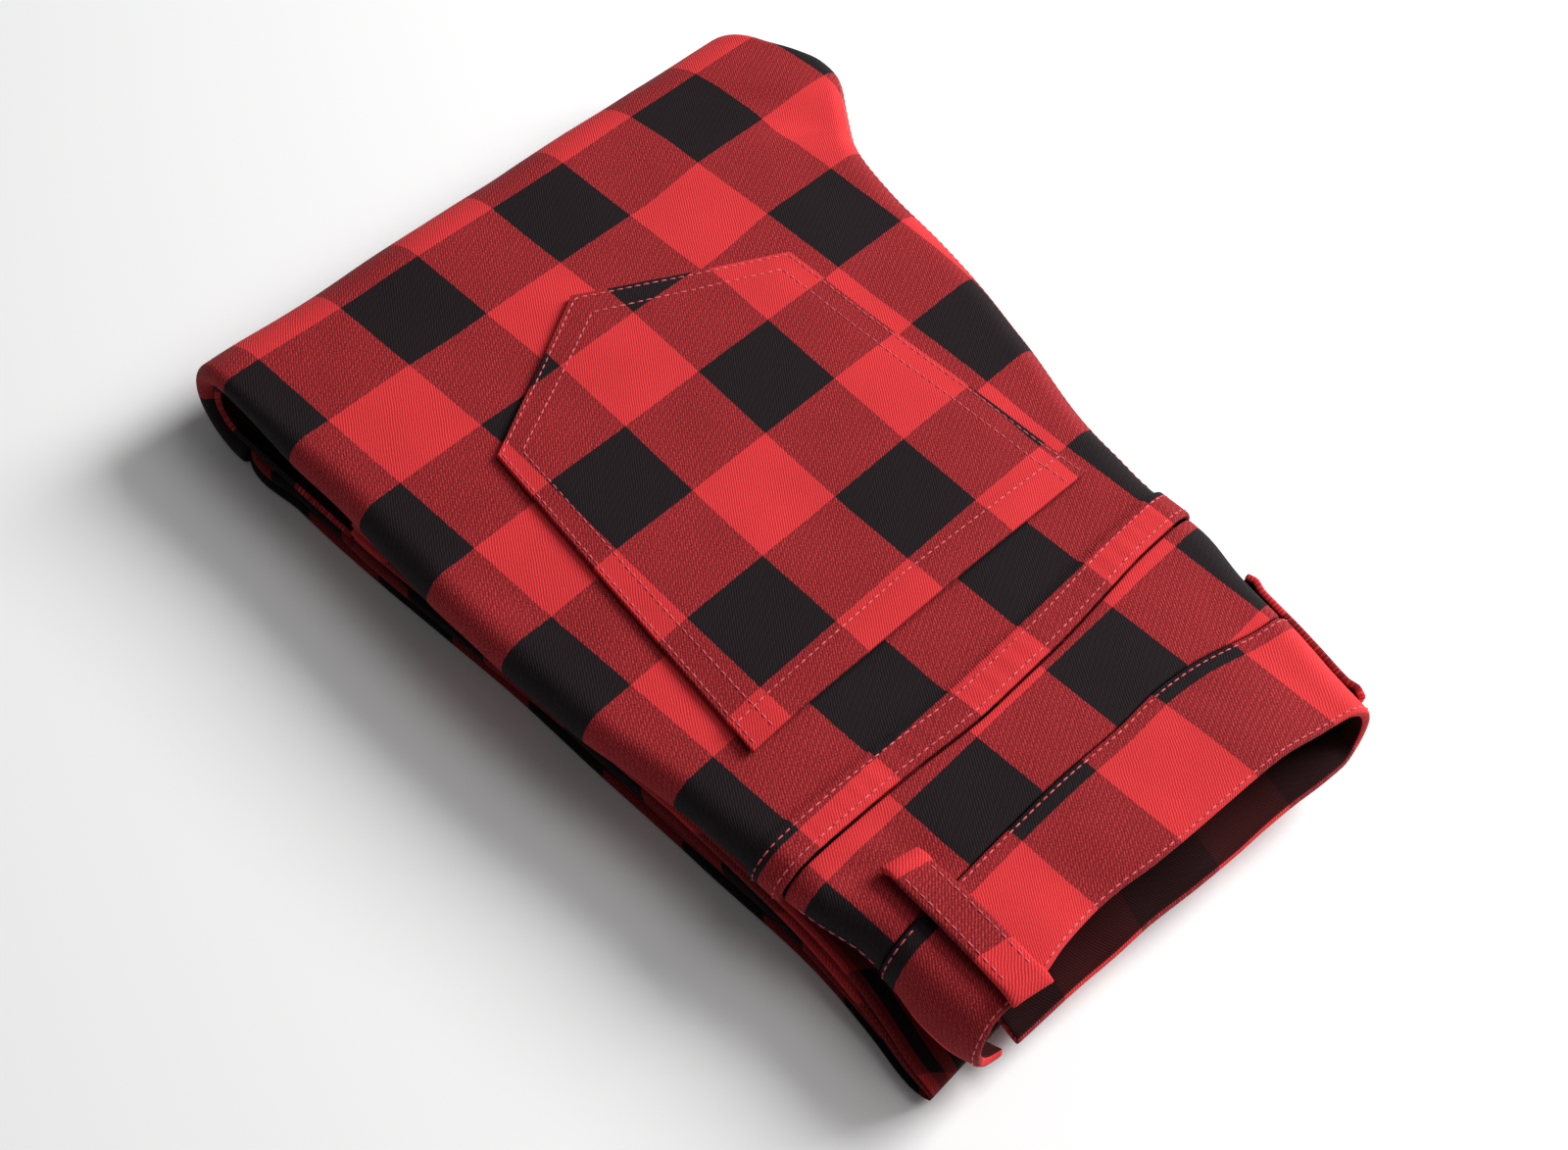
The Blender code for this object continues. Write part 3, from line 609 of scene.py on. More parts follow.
def cells_at(along, run, part="panel"):
    """Place in the check, in cells, of each part's own cut."""
    u = along / CELL + CELLS_ALONG
    v = run / CELL + CELLS_ACROSS
    if part == "yoke":
        return u + 0.53, v + 0.17
    if part == "band":
        return u + 0.55, v - 0.32
    if part == "pocket":
        return (u - 2.97) / 0.96 + 4.0, v + 0.05 + 0.075 * (u - 3.0)
    pull = ease((run - 0.025) / 0.035) * ease((along + 0.165) / 0.035) * ease((0.045 - along) / 0.060)
    return u + PULL_ALONG * pull, v + PULL_ACROSS * pull


def finish_piece(obj, *nodes):
    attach(obj, "root")
    if nodes:
        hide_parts(*nodes)
    return obj


def grid_piece(name, rows, uvs, thickness, *nodes, bevel=None):
    """Fine cloth wall through a grid of outer points, with its cells as UV."""
    count = len(rows[0])
    mesh = bpy.data.meshes.new(name)
    faces = []
    for i in range(len(rows) - 1):
        for j in range(count - 1):
            a = i * count + j
            faces.append((a, a + count, a + count + 1, a + 1))
    mesh.from_pydata([tuple(p) for row in rows for p in row], [], faces)
    flat_uvs = [uv for row in uvs for uv in row]
    layer = mesh.uv_layers.new(name="cells")
    for loop in mesh.loops:
        layer.data[loop.index].uv = flat_uvs[loop.vertex_index]
    mesh.update()
    mesh.shade_smooth()
    obj = bpy.data.objects.new(name, mesh)
    bpy.context.scene.collection.objects.link(obj)
    mesh.materials.append(OUTSIDE)
    # Inner faces take the check darkened as painted shade
    mesh.materials.append(INSIDE_PAINTED_SHADE)
    wall = obj.modifiers.new("wall", "SOLIDIFY")
    wall.thickness = thickness
    wall.offset = -1.0
    wall.use_even_offset = False
    wall.use_rim = True
    wall.material_offset = 1
    wall.material_offset_rim = 0
    round_edge = obj.modifiers.new("rounded edge", "BEVEL")
    round_edge.width = bevel if bevel else 0.36 * thickness
    round_edge.segments = 2
    round_edge.limit_method = "ANGLE"
    round_edge.angle_limit = math.radians(55)
    return finish_piece(obj, *nodes)


def fine(start, end, step):
    """Values from start to end at about step apart, both ends kept."""
    count = max(1, round(abs(end - start) / step))
    return [mix(start, end, i / count) for i in range(count + 1)]


def fine_columns(first_left, last_right, tuck=True):
    columns = []
    if tuck:
        columns += [("tuck", value) for value in fine(TUCK, 0.0, 0.002)[:-1]]
        first_left = 180.0
    columns += [("left", value) for value in fine(first_left, 0.0, 11.0)[:-1]]
    columns += [("flat", value) for value in fine(0.0, 1.0, 1.0 / 82)]
    if last_right > 0:
        columns += [("right", value) for value in fine(0.0, last_right, 9.0)[1:]]
    return columns


def cloth_back_panel():
    columns = fine_columns(180, CENTRE_SEAM_TURN)
    fold_end = FOLD_X - math.pi * FOLD_RADIUS
    starts = [fold_end - 0.0034, fold_end - 0.0017] + fine(fold_end, FOLD_X, 0.0021)[:-1]
    rows = []
    uvs = []
    for along in starts:
        runs = [run_at(along, column) for column in columns]
        rows.append([shown(along, run) for run in runs])
        uvs.append([cells_at(along, run) for run in runs])
    ends = [crossing(YOKE_SEAM, 0.083, column, -LAP_WIDTH - 0.0012) for column in columns]
    count = 104
    for i in range(count + 1):
        places = [(mix(FOLD_X, end, i / count), column) for end, column in zip(ends, columns)]
        rows.append([shown(along, run_at(along, column)) for along, column in places])
        uvs.append([cells_at(along, run_at(along, column)) for along, column in places])
    for back, rise in FINE_LAP_ROWS:
        row = []
        uv_row = []
        for column in columns:
            along = crossing(YOKE_SEAM, 0.083, column, -back)
            if column[0] == "tuck":
                part = 0.0
            elif column[0] == "left":
                part = ease((170.0 - column[1]) / 60.0)
            elif column[0] == "right":
                part = ease((CENTRE_SEAM_TURN - column[1]) / 30.0)
            else:
                part = 1.0
            run = run_at(along, column)
            pucker = LAP_PUCKER * math.sin(2 * math.pi * run / 0.0062 + 2.0 * math.sin(run * 130.0))
            row.append(shown(along, run, (LAP_RISE * rise + pucker * min(1.0, rise)) * part))
            u, v = cells_at(along, run)
            uv_row.append((u + LAP_SHIFT[0], v + LAP_SHIFT[1]))
        if back == FINE_LAP_ROWS[0][0]:
            rows.append([Vector(p) for p in row])
            uvs.append([cells_at(crossing(YOKE_SEAM, 0.083, c, -back), run_at(0.07, c)) for c in columns])
            rows.pop()
            uvs.pop()
        rows.append(row)
        uvs.append(uv_row)
    return grid_piece("cloth_back_panel", rows, uvs, CLOTH, "back_panel")


def cloth_yoke():
    columns = fine_columns(180, CENTRE_SEAM_TURN)
    rows = []
    uvs = []
    count = 14
    starts = [crossing(YOKE_SEAM, 0.083, column, SEAM_GAP) for column in columns]
    ends = [crossing(BAND_SEAM, 0.115, column, -SEAM_GAP) for column in columns]
    for i in range(count + 1):
        places = [(mix(a, b, i / count), column) for a, b, column in zip(starts, ends, columns)]
        rows.append([shown(along, run_at(along, column), -0.0002) for along, column in places])
        uvs.append([cells_at(along, run_at(along, column), "yoke") for along, column in places])
    return grid_piece("cloth_yoke", rows, uvs, CLOTH, "yoke")


def band_rise(share):
    """Soft roll of the waistband's two long edges."""
    return 0.0005 * min(1.0, share / 0.05, (1.0 - share) / 0.05)


def band_cells(share, along, run):
    """The band's check: one narrow row by the seam, then one full row to the free edge."""
    first = mix(0.17, 0.14, ease((run + 0.10) / 0.14))
    return 9.0 + 0.985 * (share - first) / (1.0 - first), cells_at(along, run, "band")[1]


def cloth_waistband():
    columns = [("at", BAND_JOIN + SEAM_GAP), ("at", BAND_JOIN + 0.0020), ("at", BAND_JOIN + 0.0040)]
    columns += [("flat", i / 82) for i in range(8, 83)]
    columns += [("right", 180.0 * (i + 1) / 20) for i in range(20)]
    columns += [("return", value) for value in fine(0.0, LOWER_RUN, 0.0022)[1:]]
    rows = []
    uvs = []
    shares = [0.0, 0.025, 0.05] + fine(0.05, 0.95, 0.9 / 17)[1:-1] + [0.95, 0.975, 1.0]
    for share in shares:
        row = []
        uv_row = []
        for column in columns:
            seam, edge = band_edges(column)
            along = mix(seam, edge, share)
            run = run_at(along, column)
            row.append(shown(along, run, band_rise(share)))
            uv_row.append(band_cells(share, along, run))
        rows.append(row)
        uvs.append(uv_row)
    return grid_piece("cloth_waistband", rows, uvs, BAND_CLOTH, "waistband")


def cloth_waistband_front():
    columns = [("left", angle) for angle in fine(168.0, 0.0, 7.0)]
    columns += [("at", value) for value in (BAND_JOIN - 0.0040, BAND_JOIN - 0.0020, BAND_JOIN - SEAM_GAP)]
    rows = []
    uvs = []
    shares = [0.0, 0.025, 0.05] + fine(0.05, 0.95, 0.9 / 17)[1:-1] + [0.95, 0.975, 1.0]
    for share in shares:
        row = []
        uv_row = []
        for column in columns:
            lower = ease(column[1] / 168.0) if column[0] == "left" else 0.0
            seam = crossing(BAND_SEAM, 0.115, column)
            edge = crossing(BAND_EDGE, 0.147, column) + FRONT_REACH * lower
            along = mix(seam, edge, share)
            run = run_at(along, column)
            row.append(shown(along, run, band_rise(share)))
            u, v = band_cells(share, along, run)
            uv_row.append((u, v + FRONT_BAND_SHIFT))
        rows.append(row)
        uvs.append(uv_row)
    return grid_piece("cloth_waistband_front", rows, uvs, BAND_CLOTH, "waistband_front")


def cloth_second_back_panel():
    columns = [("right", angle) for angle in fine(90.4, 180.0, 7.5)] + [("return", 0.0034), ("return", 0.0067),
                                                                    ("return", 0.010)]
    seam = ("right", CENTRE_SEAM_TURN)
    yoke_end = crossing(YOKE_SEAM, 0.083, seam, -LAP_WIDTH - 0.001)
    first = mix(FOLD_X, yoke_end, CROTCH_ROW / FLAT_ROWS)
    last = crossing(BAND_SEAM, 0.115, seam, -SEAM_GAP)
    rows = []
    uvs = []
    for station in fine(first, last, 0.0026):
        row = []
        uv_row = []
        for column in columns:
            end = band_edges(column)[0] - SEAM_GAP
            stretch = (end - first) / (last - first)
            share = 1.0 if column[0] == "return" else ease(column[1] / 180.0)
            along = first + (station - first) * mix(1.0, stretch, share)
            run = run_at(along, column)
            row.append(shown(along, run))
            uv_row.append(cells_at(along, 2 * run_at(along, seam) - run))
        rows.append(row)
        uvs.append(uv_row)
    return grid_piece("cloth_second_back_panel", rows, uvs, CLOTH, "second_back_panel")


def cloth_second_leg():
    acrosses = [-0.1185, -0.1178] + fine(-0.1178, -0.0965, 0.0022)[1:]
    first = -0.0985
    last = FOLD_X - math.pi * FOLD_RADIUS - (FOLD_X * -1 - 0.0985)
    rows = []
    uvs = []
    for along in fine(last, first, 0.0024):
        roll = edges_at(along)[1]
        row = []
        uv_row = []
        for k, across in enumerate(acrosses):
            rounding = 0.0006 if k == 0 else 0.0
            row.append(bend(along, across, 2 * roll + LAYER_CLEARANCE + rounding))
            uv_row.append((along / CELL + 5.35, across / CELL + 0.55))
        rows.append(row)
        uvs.append(uv_row)
    return grid_piece("cloth_second_leg", rows, uvs, CLOTH, "second_leg")


def pocket_at(u, v):
    """Along, across and lift at a share u of the pocket's width and v of its length."""
    if u < 0.5:
        low_y = mix(POCKET_LEFT_LOW[0], POCKET_TIP[0], 2 * u)
        low_x = mix(POCKET_LEFT_LOW[1], POCKET_TIP[1], 2 * u)
    else:
        low_y = mix(POCKET_TIP[0], POCKET_RIGHT_LOW[0], 2 * u - 1)
        low_x = mix(POCKET_TIP[1], POCKET_RIGHT_LOW[1], 2 * u - 1)
    top_y = mix(POCKET_LEFT_TOP[0], POCKET_RIGHT_TOP[0], u)
    top_x = mix(POCKET_LEFT_TOP[1], POCKET_RIGHT_TOP[1], u)
    along = mix(low_x, top_x, v)
    across = mix(low_y, top_y, v)
    from_mouth = top_x - along
    hem = ease((POCKET_HEM - from_mouth) / 0.004)
    mouth = ease(1 - from_mouth / 0.045) * max(0.0, math.sin(math.pi * u)) ** 0.7
    lift = POCKET_REST + POCKET_CLOTH + POCKET_HEM_RISE * hem + POCKET_MOUTH_RISE * mouth
    return along, across, lift


def pocket_swell(u, v):
    """Slight fullness between the sewn edges of the pocket."""
    inside = min(u, 1 - u) * 0.14
    low = v * 0.15
    return 0.0006 * ease(inside / 0.012) * ease(low / 0.012)


def cloth_pocket():
    rows = []
    uvs = []
    shares = [0.0, 0.004] + fine(0.015, 0.985, 0.97 / 66) + [0.996, 1.0]
    for v in shares:
        row = []
        uv_row = []
        for u in shares:
            along, across, lift = pocket_at(u, v)
            row.append(shown(along, across, lift + pocket_swell(u, v)))
            uv_row.append(cells_at(along, across, "pocket"))
        rows.append(row)
        uvs.append(uv_row)
    return grid_piece("cloth_pocket", rows, uvs, POCKET_CLOTH, "back_pocket", bevel=0.0005)


def loop_point(which, t, side):
    """Place on a belt loop at a share t of its length, side from -0.5 to 0.5 of its width."""
    rounding = 0.0005 * max(0.0, abs(side) - 0.36) / 0.14
    if which == "side":
        along = mix(SIDE_LOOP_START[0], SIDE_LOOP_END[0], t) + 0.0030 * side
        run = mix(SIDE_LOOP_START[1], SIDE_LOOP_END[1], t) + side * LOOP_WIDTH
    else:
        along = mix(BACK_LOOP_START, BACK_LOOP_END, t)
        run = run_at(along, ("right", BACK_LOOP_ANGLE)) + side * LOOP_WIDTH
    slack = 1.0 if which == "side" else BACK_LOOP_SLACK
    return along, run, loop_lift(t, slack) - rounding


def cloth_loop(which):
    rows = []
    uvs = []
    for t in fine(0.0, 1.0, 1.0 / 40):
        row = []
        uv_row = []
        for side in fine(-0.5, 0.5, 1.0 / 12):
            along, run, lift = loop_point(which, t, side)
            knot = 0.0011 * (math.exp(-((t - 0.07) / 0.05) ** 2) + math.exp(-((t - 0.93) / 0.05) ** 2))
            row.append(shown(along, run, lift + knot))
            uv_row.append(loop_cells(which, t, side))
        rows.append(row)
        uvs.append(uv_row)
    node_name = "belt_loop_side" if which == "side" else "belt_loop_back"
    return grid_piece("cloth_" + node_name, rows, uvs, LOOP_CLOTH, node_name, bevel=0.0007)


def loop_cells(which, t, side):
    """Check on a loop: mixed in its middle, red at its folded ends."""
    if which == "side":
        return 2.0 + (t - 0.12) / 0.57, 1.5 + 0.36 * side
    return 1.45 + 1.63 * t, 1.5 + 0.36 * side


# Sewing

def stitch_mesh(name, runs):
    """All the stitches of some rows of sewing as one mesh.

    Each row is a list of points on the cloth with the outward direction at each.
    """
    vertices = []
    faces = []
    sides = 6
    for points in runs:
        lengths = [0.0]
        for a, b in zip(points, points[1:]):
            lengths.append(lengths[-1] + (b[0] - a[0]).length)
        total = lengths[-1]
        count = max(1, int(total / STITCH_PITCH))
        pitch = total / count
        for k in range(count):
            ring_start = len(vertices)
            start = k * pitch + 0.5 * (pitch - STITCH_LENGTH)
            for r in range(STITCH_RINGS):
                t = r / (STITCH_RINGS - 1)
                spot, out, ahead = along_path(points, lengths, start + t * STITCH_LENGTH)
                side = out.cross(ahead).normalized()
                swell = math.sin(math.pi * mix(0.08, 0.92, t)) ** 0.5
                middle = spot + out * (STITCH_SINK * (swell - 1.0) + STITCH_PROUD)
                for s in range(sides):
                    angle = 2 * math.pi * s / sides
                    offset = side * math.cos(angle) * STITCH_WIDE + out * math.sin(angle) * STITCH_HIGH
                    vertices.append(middle + offset * swell)
            for r in range(STITCH_RINGS - 1):
                for s in range(sides):
                    a = ring_start + r * sides + s
                    b = ring_start + r * sides + (s + 1) % sides
                    faces.append((a, b, b + sides, a + sides))
            faces.append(tuple(ring_start + s for s in reversed(range(sides))))
            last = ring_start + (STITCH_RINGS - 1) * sides
            faces.append(tuple(last + s for s in range(sides)))
    mesh = bpy.data.meshes.new(name)
    mesh.from_pydata([tuple(v) for v in vertices], [], faces)
    mesh.update()
    mesh.shade_smooth()
    obj = bpy.data.objects.new(name, mesh)
    bpy.context.scene.collection.objects.link(obj)
    mesh.materials.append(THREAD_CLOTH)
    return finish_piece(obj)


def along_path(points, lengths, distance):
    i = 0
    while i < len(lengths) - 2 and lengths[i + 1] < distance:
        i += 1
    span = max(1e-9, lengths[i + 1] - lengths[i])
    t = (distance - lengths[i]) / span
    spot = points[i][0].lerp(points[i + 1][0], t)
    out = points[i][1].lerp(points[i + 1][1], t).normalized()
    return spot, out, (points[i + 1][0] - points[i][0]).normalized()


def sewn(points):
    """Points and outward directions of a row of sewing given as along, run and lift."""
    made = []
    for along, run, lift in points:
        spot = shown(along, run, lift)
        out = place(along, run, lift + 0.001) - place(along, run, lift)
        made.append((spot, out.normalized()))
    return made


def between(a, b, count=40):
    return [tuple(mix(p, q, i / count) for p, q in zip(a, b)) for i in range(count + 1)]


def pocket_rows():
    """Two rows along every side of the pocket."""
    rows = []
    for inset in POCKET_ROWS:
        wide = inset / 0.140
        low = inset / 0.150
        shift = 1.12
        left = [(wide, v) for v in fine(low * shift, 1.0 - 0.0012 / 0.15, 0.012)]
        right = [(1 - wide, v) for v in fine(low * shift, 1.0 - 0.0012 / 0.15, 0.012)]
        bottom = [(u, low * shift) for u in fine(wide, 1 - wide, 0.012)]
        for path in (left, right, bottom):
            points = []
            for u, v in path:
                along, across, lift = pocket_at(u, v)
                points.append((along, across, lift + pocket_swell(u, v)))
            rows.append(sewn(points))
    for back in POCKET_HEM_ROWS:
        points = []
        for u in fine(0.010, 0.990, 0.012):
            along, across, lift = pocket_at(u, 1.0 - back / 0.140)
            points.append((along, across, lift + pocket_swell(u, 1.0 - back / 0.140)))
        rows.append(sewn(points))
    return rows


def seam_rows():
    """Rows over the lapped strip and along the waistband."""
    rows = []
    for back in LAP_STITCHES:
        points = []
        for column in fine_columns(150.0, CENTRE_SEAM_TURN - 3.0, tuck=False):
            along = crossing(YOKE_SEAM, 0.083, column, -back)
            part = ease((170.0 - column[1]) / 60.0) if column[0] == "left" else 1.0
            if column[0] == "right":
                part = ease((CENTRE_SEAM_TURN - column[1]) / 30.0)
            points.append((along, run_at(along, column), LAP_RISE * part))
        rows.append(sewn(points))
    for share in BAND_STITCHES:
        points = []
        for column in [("at", BAND_JOIN + 0.001)] + [("flat", i / 40) for i in range(4, 41)] + [
                ("right", 180.0 * (i + 1) / 16) for i in range(16)]:
            seam, edge = band_edges(column)
            along = mix(seam, edge, share)
            points.append((along, run_at(along, column), 0.0005))
        rows.append(sewn(points))
        points = []
        for angle in fine(166.0, 0.0, 8.0):
            column = ("left", angle)
            seam = crossing(BAND_SEAM, 0.115, column)
            edge = crossing(BAND_EDGE, 0.147, column) + FRONT_REACH * ease(angle / 168.0)
            along = mix(seam, edge, share)
            points.append((along, run_at(along, column), 0.0005))
        rows.append(sewn(points))
    for angle in CENTRE_STITCHES:
        points = []
        for along in fine(-0.118, 0.069, 0.003):
            points.append((along, run_at(along, ("right", angle)), 0.0))
        rows.append(sewn(points))
    points = []
    for along in fine(0.0865, 0.1120, 0.003):
        points.append((along, run_at(along, ("left", 92.0)), 0.0))
    rows.append(sewn(points))
    return rows


def loop_rows():
    rows = []
    for which in ("side", "back"):
        for side in (-0.33, 0.33):
            rows.append(sewn([loop_point(which, t, side) for t in fine(0.02, 0.98, 0.03)]))
        for t in (0.05, 0.09, 0.91, 0.95):
            points = []
            for side in fine(-0.42, 0.42, 0.12):
                along, run, lift = loop_point(which, t, side)
                points.append((along, run, lift + 0.0006))
            rows.append(sewn(points))
    return rows


# Folded layers

def layered_side(height, layers, edge, sign, along, recess=None):
    """Side of the folded legs with the edge of each layer of cloth, as across, height and cell."""
    points = []
    for layer in range(layers):
        wander = noise.noise(Vector((along / 0.05, 3.7 * layer, sign * 2.3)))
        back = LAYER_BACKS[layer % len(LAYER_BACKS)]
        shift = 0.0016 * wander + back
        for k in range(8):
            t = (k + 0.25) / 7.5
            inset = 1.0 - math.sqrt(max(0.0, 1.0 - (2 * t - 1) ** 2))
            if layer == 0 and k == 0:
                t, inset = 0.0, 0.35
            across = edge + sign * (LAYER_GROOVE_FINE * inset + shift)
            if recess is not None and height * (layer + t) / layers > 0.0076:
                across = recess + 0.0002 * t + 0.0001 * layer
            cell = 0.55 * layer + 0.9 * LAYER_CELLS[layer % len(LAYER_CELLS)] + 0.25 * t
            points.append((across, height * (layer + t) / layers, cell))
    return points


def upper_outline(along, start, end):
    """Inside of the folded half, over the left tuck to the right one, as across and height."""
    left, left_roll, right, right_roll = edges_at(along)
    flat_right = right - right_roll
    ceiling = TOP - CLOTH - INNER_CLEARANCE
    points = [start, (start[0], mix(start[1], ceiling, 0.7)), (start[0] + 0.003, ceiling)]
    top_count = 8
    last = flat_right - 0.004
    for i in range(1, top_count + 1):
        points.append((mix(start[0] + 0.003, last, i / top_count), ceiling))
    radius = max(0.0012, right_roll - CLOTH - 0.0012)
    for angle, step in ((50.0, 0.0003), (90.0, 0.0006), (130.0, 0.0009)):
        across = flat_right - 0.001 + radius * math.sin(math.radians(angle))
        height = TOP - right_roll + radius * math.cos(math.radians(angle))
        points.append((across, min(height, ceiling - step)))
    points.append((end[0], TOP - 2 * right_roll + CLOTH + 0.0012))
    points.append(end)
    return points


def fine_layers_section(along):
    left, left_roll, right, right_roll = edges_at(max(along, -0.150))
    left_roll = max(left_roll, edges_at(along + 0.008)[1])
    low_left = smooth_at(LOWER_OUTLINE, 1, along)
    low_right = smooth_at(LOWER_OUTLINE, 2, along)
    left_height = TOP - 2 * left_roll - LAYER_CLEARANCE
    right_height = TOP - 2 * right_roll - LAYER_CLEARANCE
    recess = RECESS_Y if along < RECESS_START + 0.0001 else None
    if recess is not None:
        left_height = 3 * 0.0075
    tuck_end = left + left_roll + TUCK + 0.0012
    band_end = right - right_roll - LOWER_RUN - 0.0012
    start = (min(tuck_end, band_end) if along > 0.10 else tuck_end, left_height)
    if recess is not None:
        start = (recess + 0.0012, left_height)
    end = (right - right_roll - 0.0125, right_height)
    full = upper_outline(along, start, end)
    lower = []
    for i in range(len(full)):
        across = mix(start[0] + 0.0007, end[0], (i - 1) / (len(full) - 2))
        lower.append((across, TOP - lower_depth(along, across) - FLOOR_CLEARANCE))
    share = ease((along - CAVITY_START) / (CAVITY_FULL - CAVITY_START))
    middle = [(mix(f[0], g[0], share), mix(f[1], g[1], share)) for f, g in zip(full, lower)]
    if share > 0.0:
        middle[0] = (start[0] - 0.0004, left_height)
        middle[-1] = (end[0] + 0.0004, mix(right_height, lower[-1][1], share))
    middle = [(across, height, across / CELL) for across, height in middle]
    left_side = layered_side(left_height, FINE_LEFT_LAYERS, low_left, 1.0, along, recess)
    right_side = layered_side(right_height, FINE_RIGHT_LAYERS, low_right, -1.0, along)
    return left_side + middle + right_side[::-1]


def fine_fold_outline(counts):
    """Plain outline inside the thigh fold, with as many points as a full section."""
    left_count, top_count, right_count = counts
    points = [(FOLD_INNER_LEFT, TOP * i / (left_count - 1), 0.4) for i in range(left_count)]
    for i in range(1, top_count + 1):
        points.append((mix(FOLD_INNER_LEFT, FOLD_INNER_RIGHT, i / (top_count + 1)), TOP, 0.4))
    points += [(FOLD_INNER_RIGHT, TOP * (1 - i / (right_count - 1)), 0.4) for i in range(right_count)]
    return points


def cloth_layers():
    stations = [-0.1648, -0.1620, -0.1570, -0.1510, -0.1460]
    stations += fine(-0.1457, -0.0956, 0.0026) + fine(-0.0945, END_START, 0.0026)
    stations += [0.1368, 0.1380, 0.1392, 0.1404, 0.1415, 0.1424, 0.1431, 0.1436, 0.1438]
    body = fine_layers_section(0.0)
    top_count = len(body) - 8 * (FINE_LEFT_LAYERS + FINE_RIGHT_LAYERS)
    counts = (8 * FINE_LEFT_LAYERS, top_count, 8 * FINE_RIGHT_LAYERS)
    vertices = []
    uvs = []
    for along in stations:
        in_fold = along < FOLD_INNER_START + 0.0001
        ring = fine_fold_outline(counts) if in_fold else fine_layers_section(along)
        for across, height, cell in ring:
            if in_fold:
                reach = (FOLD_X - along) / FOLD_INNER_RADIUS
                squeeze = FOLD_INNER_RADIUS / FOLD_RADIUS * math.sqrt(max(0.0, 1 - max(0.0, reach) ** 2))
                height = FOLD_RADIUS + (height - FOLD_RADIUS) * squeeze
            if along > END_START:
                reach = (along - END_START) / (END_X + 0.0006 - END_START)
                height = END_HEIGHT + (height - END_HEIGHT) * math.sqrt(1 - reach ** 2)
            vertices.append((along - CENTRE_X, across - CENTRE_Y, height))
            uvs.append((along / CELL + LAYER_ALONG + LAYER_STEP * math.sin(LAYER_TURN * cell), cell))
    count = len(ring)
    faces = []
    for i in range(len(stations) - 1):
        for j in range(count):
            a = i * count + j
            b = i * count + (j + 1) % count
            faces.append((a, a + count, b + count, b))
    faces.append(tuple(range(count)))
    faces.append(tuple(range(len(stations) * count - 1, (len(stations) - 1) * count - 1, -1)))
    mesh = bpy.data.meshes.new("cloth_layers")
    mesh.from_pydata(vertices, [], faces)
    layer = mesh.uv_layers.new(name="cells")
    for loop in mesh.loops:
        layer.data[loop.index].uv = uvs[loop.vertex_index]
    mesh.update()
    mesh.shade_smooth()
    obj = bpy.data.objects.new("cloth_layers", mesh)
    bpy.context.scene.collection.objects.link(obj)
    # Check darkened as painted shade on the edges of the folded layers
    mesh.materials.append(LAYERS_CLOTH_PAINTED_SHADE)
    return finish_piece(obj, "folded_layers")


# Surroundings

def floor():
    bpy.ops.mesh.primitive_plane_add(size=6.0, location=(0, 0, -0.0002))
    plane = bpy.context.object
    plane.name = "floor"
    mat = bpy.data.materials.new("pale_floor")
    mat.use_nodes = True
    shader = mat.node_tree.nodes["Principled BSDF"]
    shader.inputs["Base Color"].default_value = (0.90, 0.90, 0.90, 1.0)
    shader.inputs["Roughness"].default_value = 0.9
    shader.inputs["Specular IOR Level"].default_value = 0.1
    plane.data.materials.append(mat)


def area_light(name, place_at, target, size, power, colour=(1, 1, 1)):
    light = bpy.data.lights.new(name, "AREA")
    light.shape = "SQUARE"
    light.size = size
    light.energy = power
    light.color = colour
    obj = bpy.data.objects.new(name, light)
    bpy.context.scene.collection.objects.link(obj)
    obj.location = place_at
    aim = Vector(target) - Vector(place_at)
    obj.rotation_euler = aim.to_track_quat("-Z", "Y").to_euler()


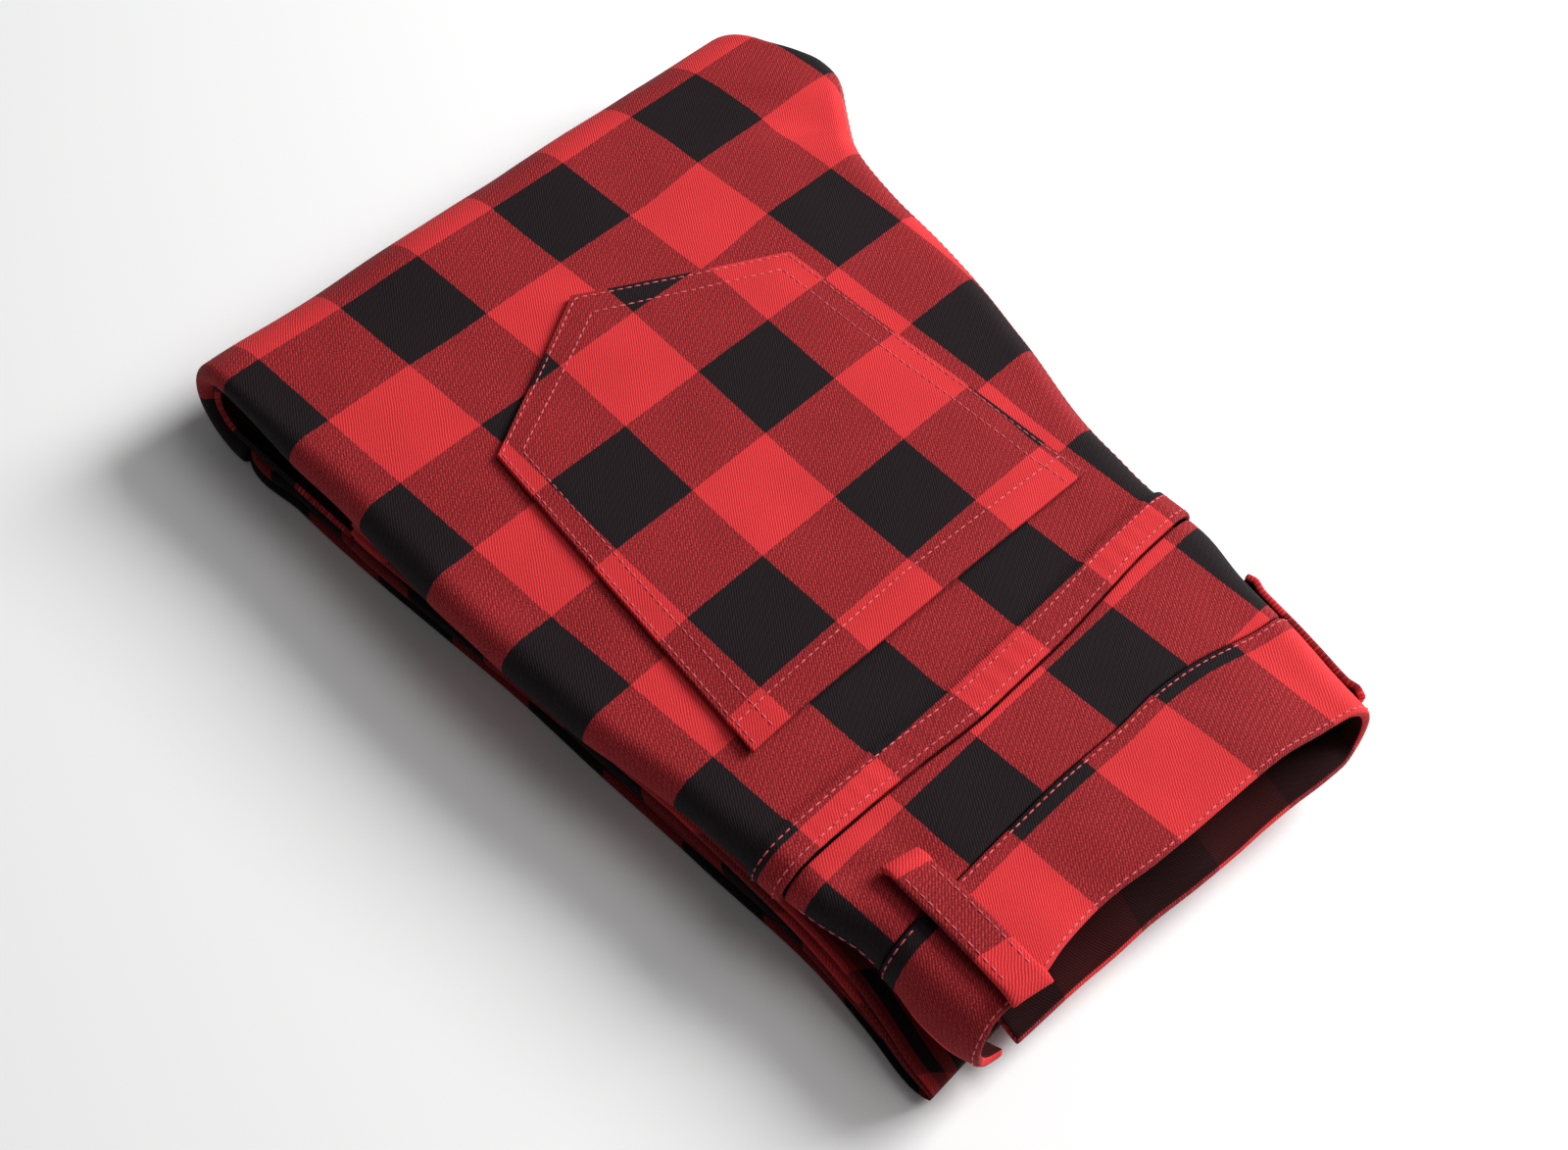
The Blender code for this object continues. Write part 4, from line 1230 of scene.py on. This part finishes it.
def lights():
    area_light("key", (0.45, 1.35, 1.10), (0, 0, 0), 0.9, 46.0)
    area_light("fill", (0.5, 0.5, 1.7), (0, 0, 0), 1.0, 9.0)
    world = bpy.data.worlds.new("studio")
    world.use_nodes = True
    world.node_tree.nodes["Background"].inputs["Color"].default_value = (1, 1, 1, 1)
    world.node_tree.nodes["Background"].inputs["Strength"].default_value = 0.14
    bpy.context.scene.world = world
    bpy.context.scene.view_settings.view_transform = "Standard"


def camera():
    forward = Vector(CAMERA_FORWARD).normalized()
    right = Vector(CAMERA_RIGHT)
    right = (right - forward * right.dot(forward)).normalized()
    up = right.cross(forward)
    turn = Matrix((right, up, -forward)).transposed()
    data = bpy.data.cameras.new("camera")
    data.lens = LENS
    data.sensor_width = 36.0
    data.sensor_fit = "HORIZONTAL"
    data.clip_start = 0.01
    obj = bpy.data.objects.new("camera", data)
    obj.matrix_world = Matrix.Translation(Vector(CAMERA_PLACE)) @ turn.to_4x4()
    bpy.context.scene.collection.objects.link(obj)
    bpy.context.scene.camera = obj


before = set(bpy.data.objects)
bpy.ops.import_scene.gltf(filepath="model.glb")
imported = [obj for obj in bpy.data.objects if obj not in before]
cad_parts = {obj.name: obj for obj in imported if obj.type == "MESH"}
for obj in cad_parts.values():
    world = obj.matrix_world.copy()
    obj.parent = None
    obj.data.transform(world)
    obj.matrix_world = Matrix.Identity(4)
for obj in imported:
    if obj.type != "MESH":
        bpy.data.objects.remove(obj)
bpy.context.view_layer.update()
OUTSIDE = check_cloth("check_cloth")
# Inner faces of the cloth walls: the check darkened to a twentieth, painted shade; no sheen
INSIDE_PAINTED_SHADE = check_cloth("check_cloth_inside_painted_shade", shade=0.05, inside=True)
# Edges of the folded layers: the check at a little over half brightness, painted shade
LAYERS_CLOTH_PAINTED_SHADE = check_cloth("check_cloth_layers_painted_shade", shade=0.55)
THREAD_CLOTH = thread()
camera()
PIECES = [
    cloth_back_panel(), cloth_yoke(), cloth_waistband(), cloth_waistband_front(),
    cloth_second_back_panel(), cloth_second_leg(), cloth_pocket(), cloth_loop("side"), cloth_loop("back"),
    cloth_layers(),
]
SEWING = [
    stitch_mesh("stitches_pocket", pocket_rows()),
    stitch_mesh("stitches_seams", seam_rows()),
    stitch_mesh("stitches_loops", loop_rows()),
]
floor()
lights()
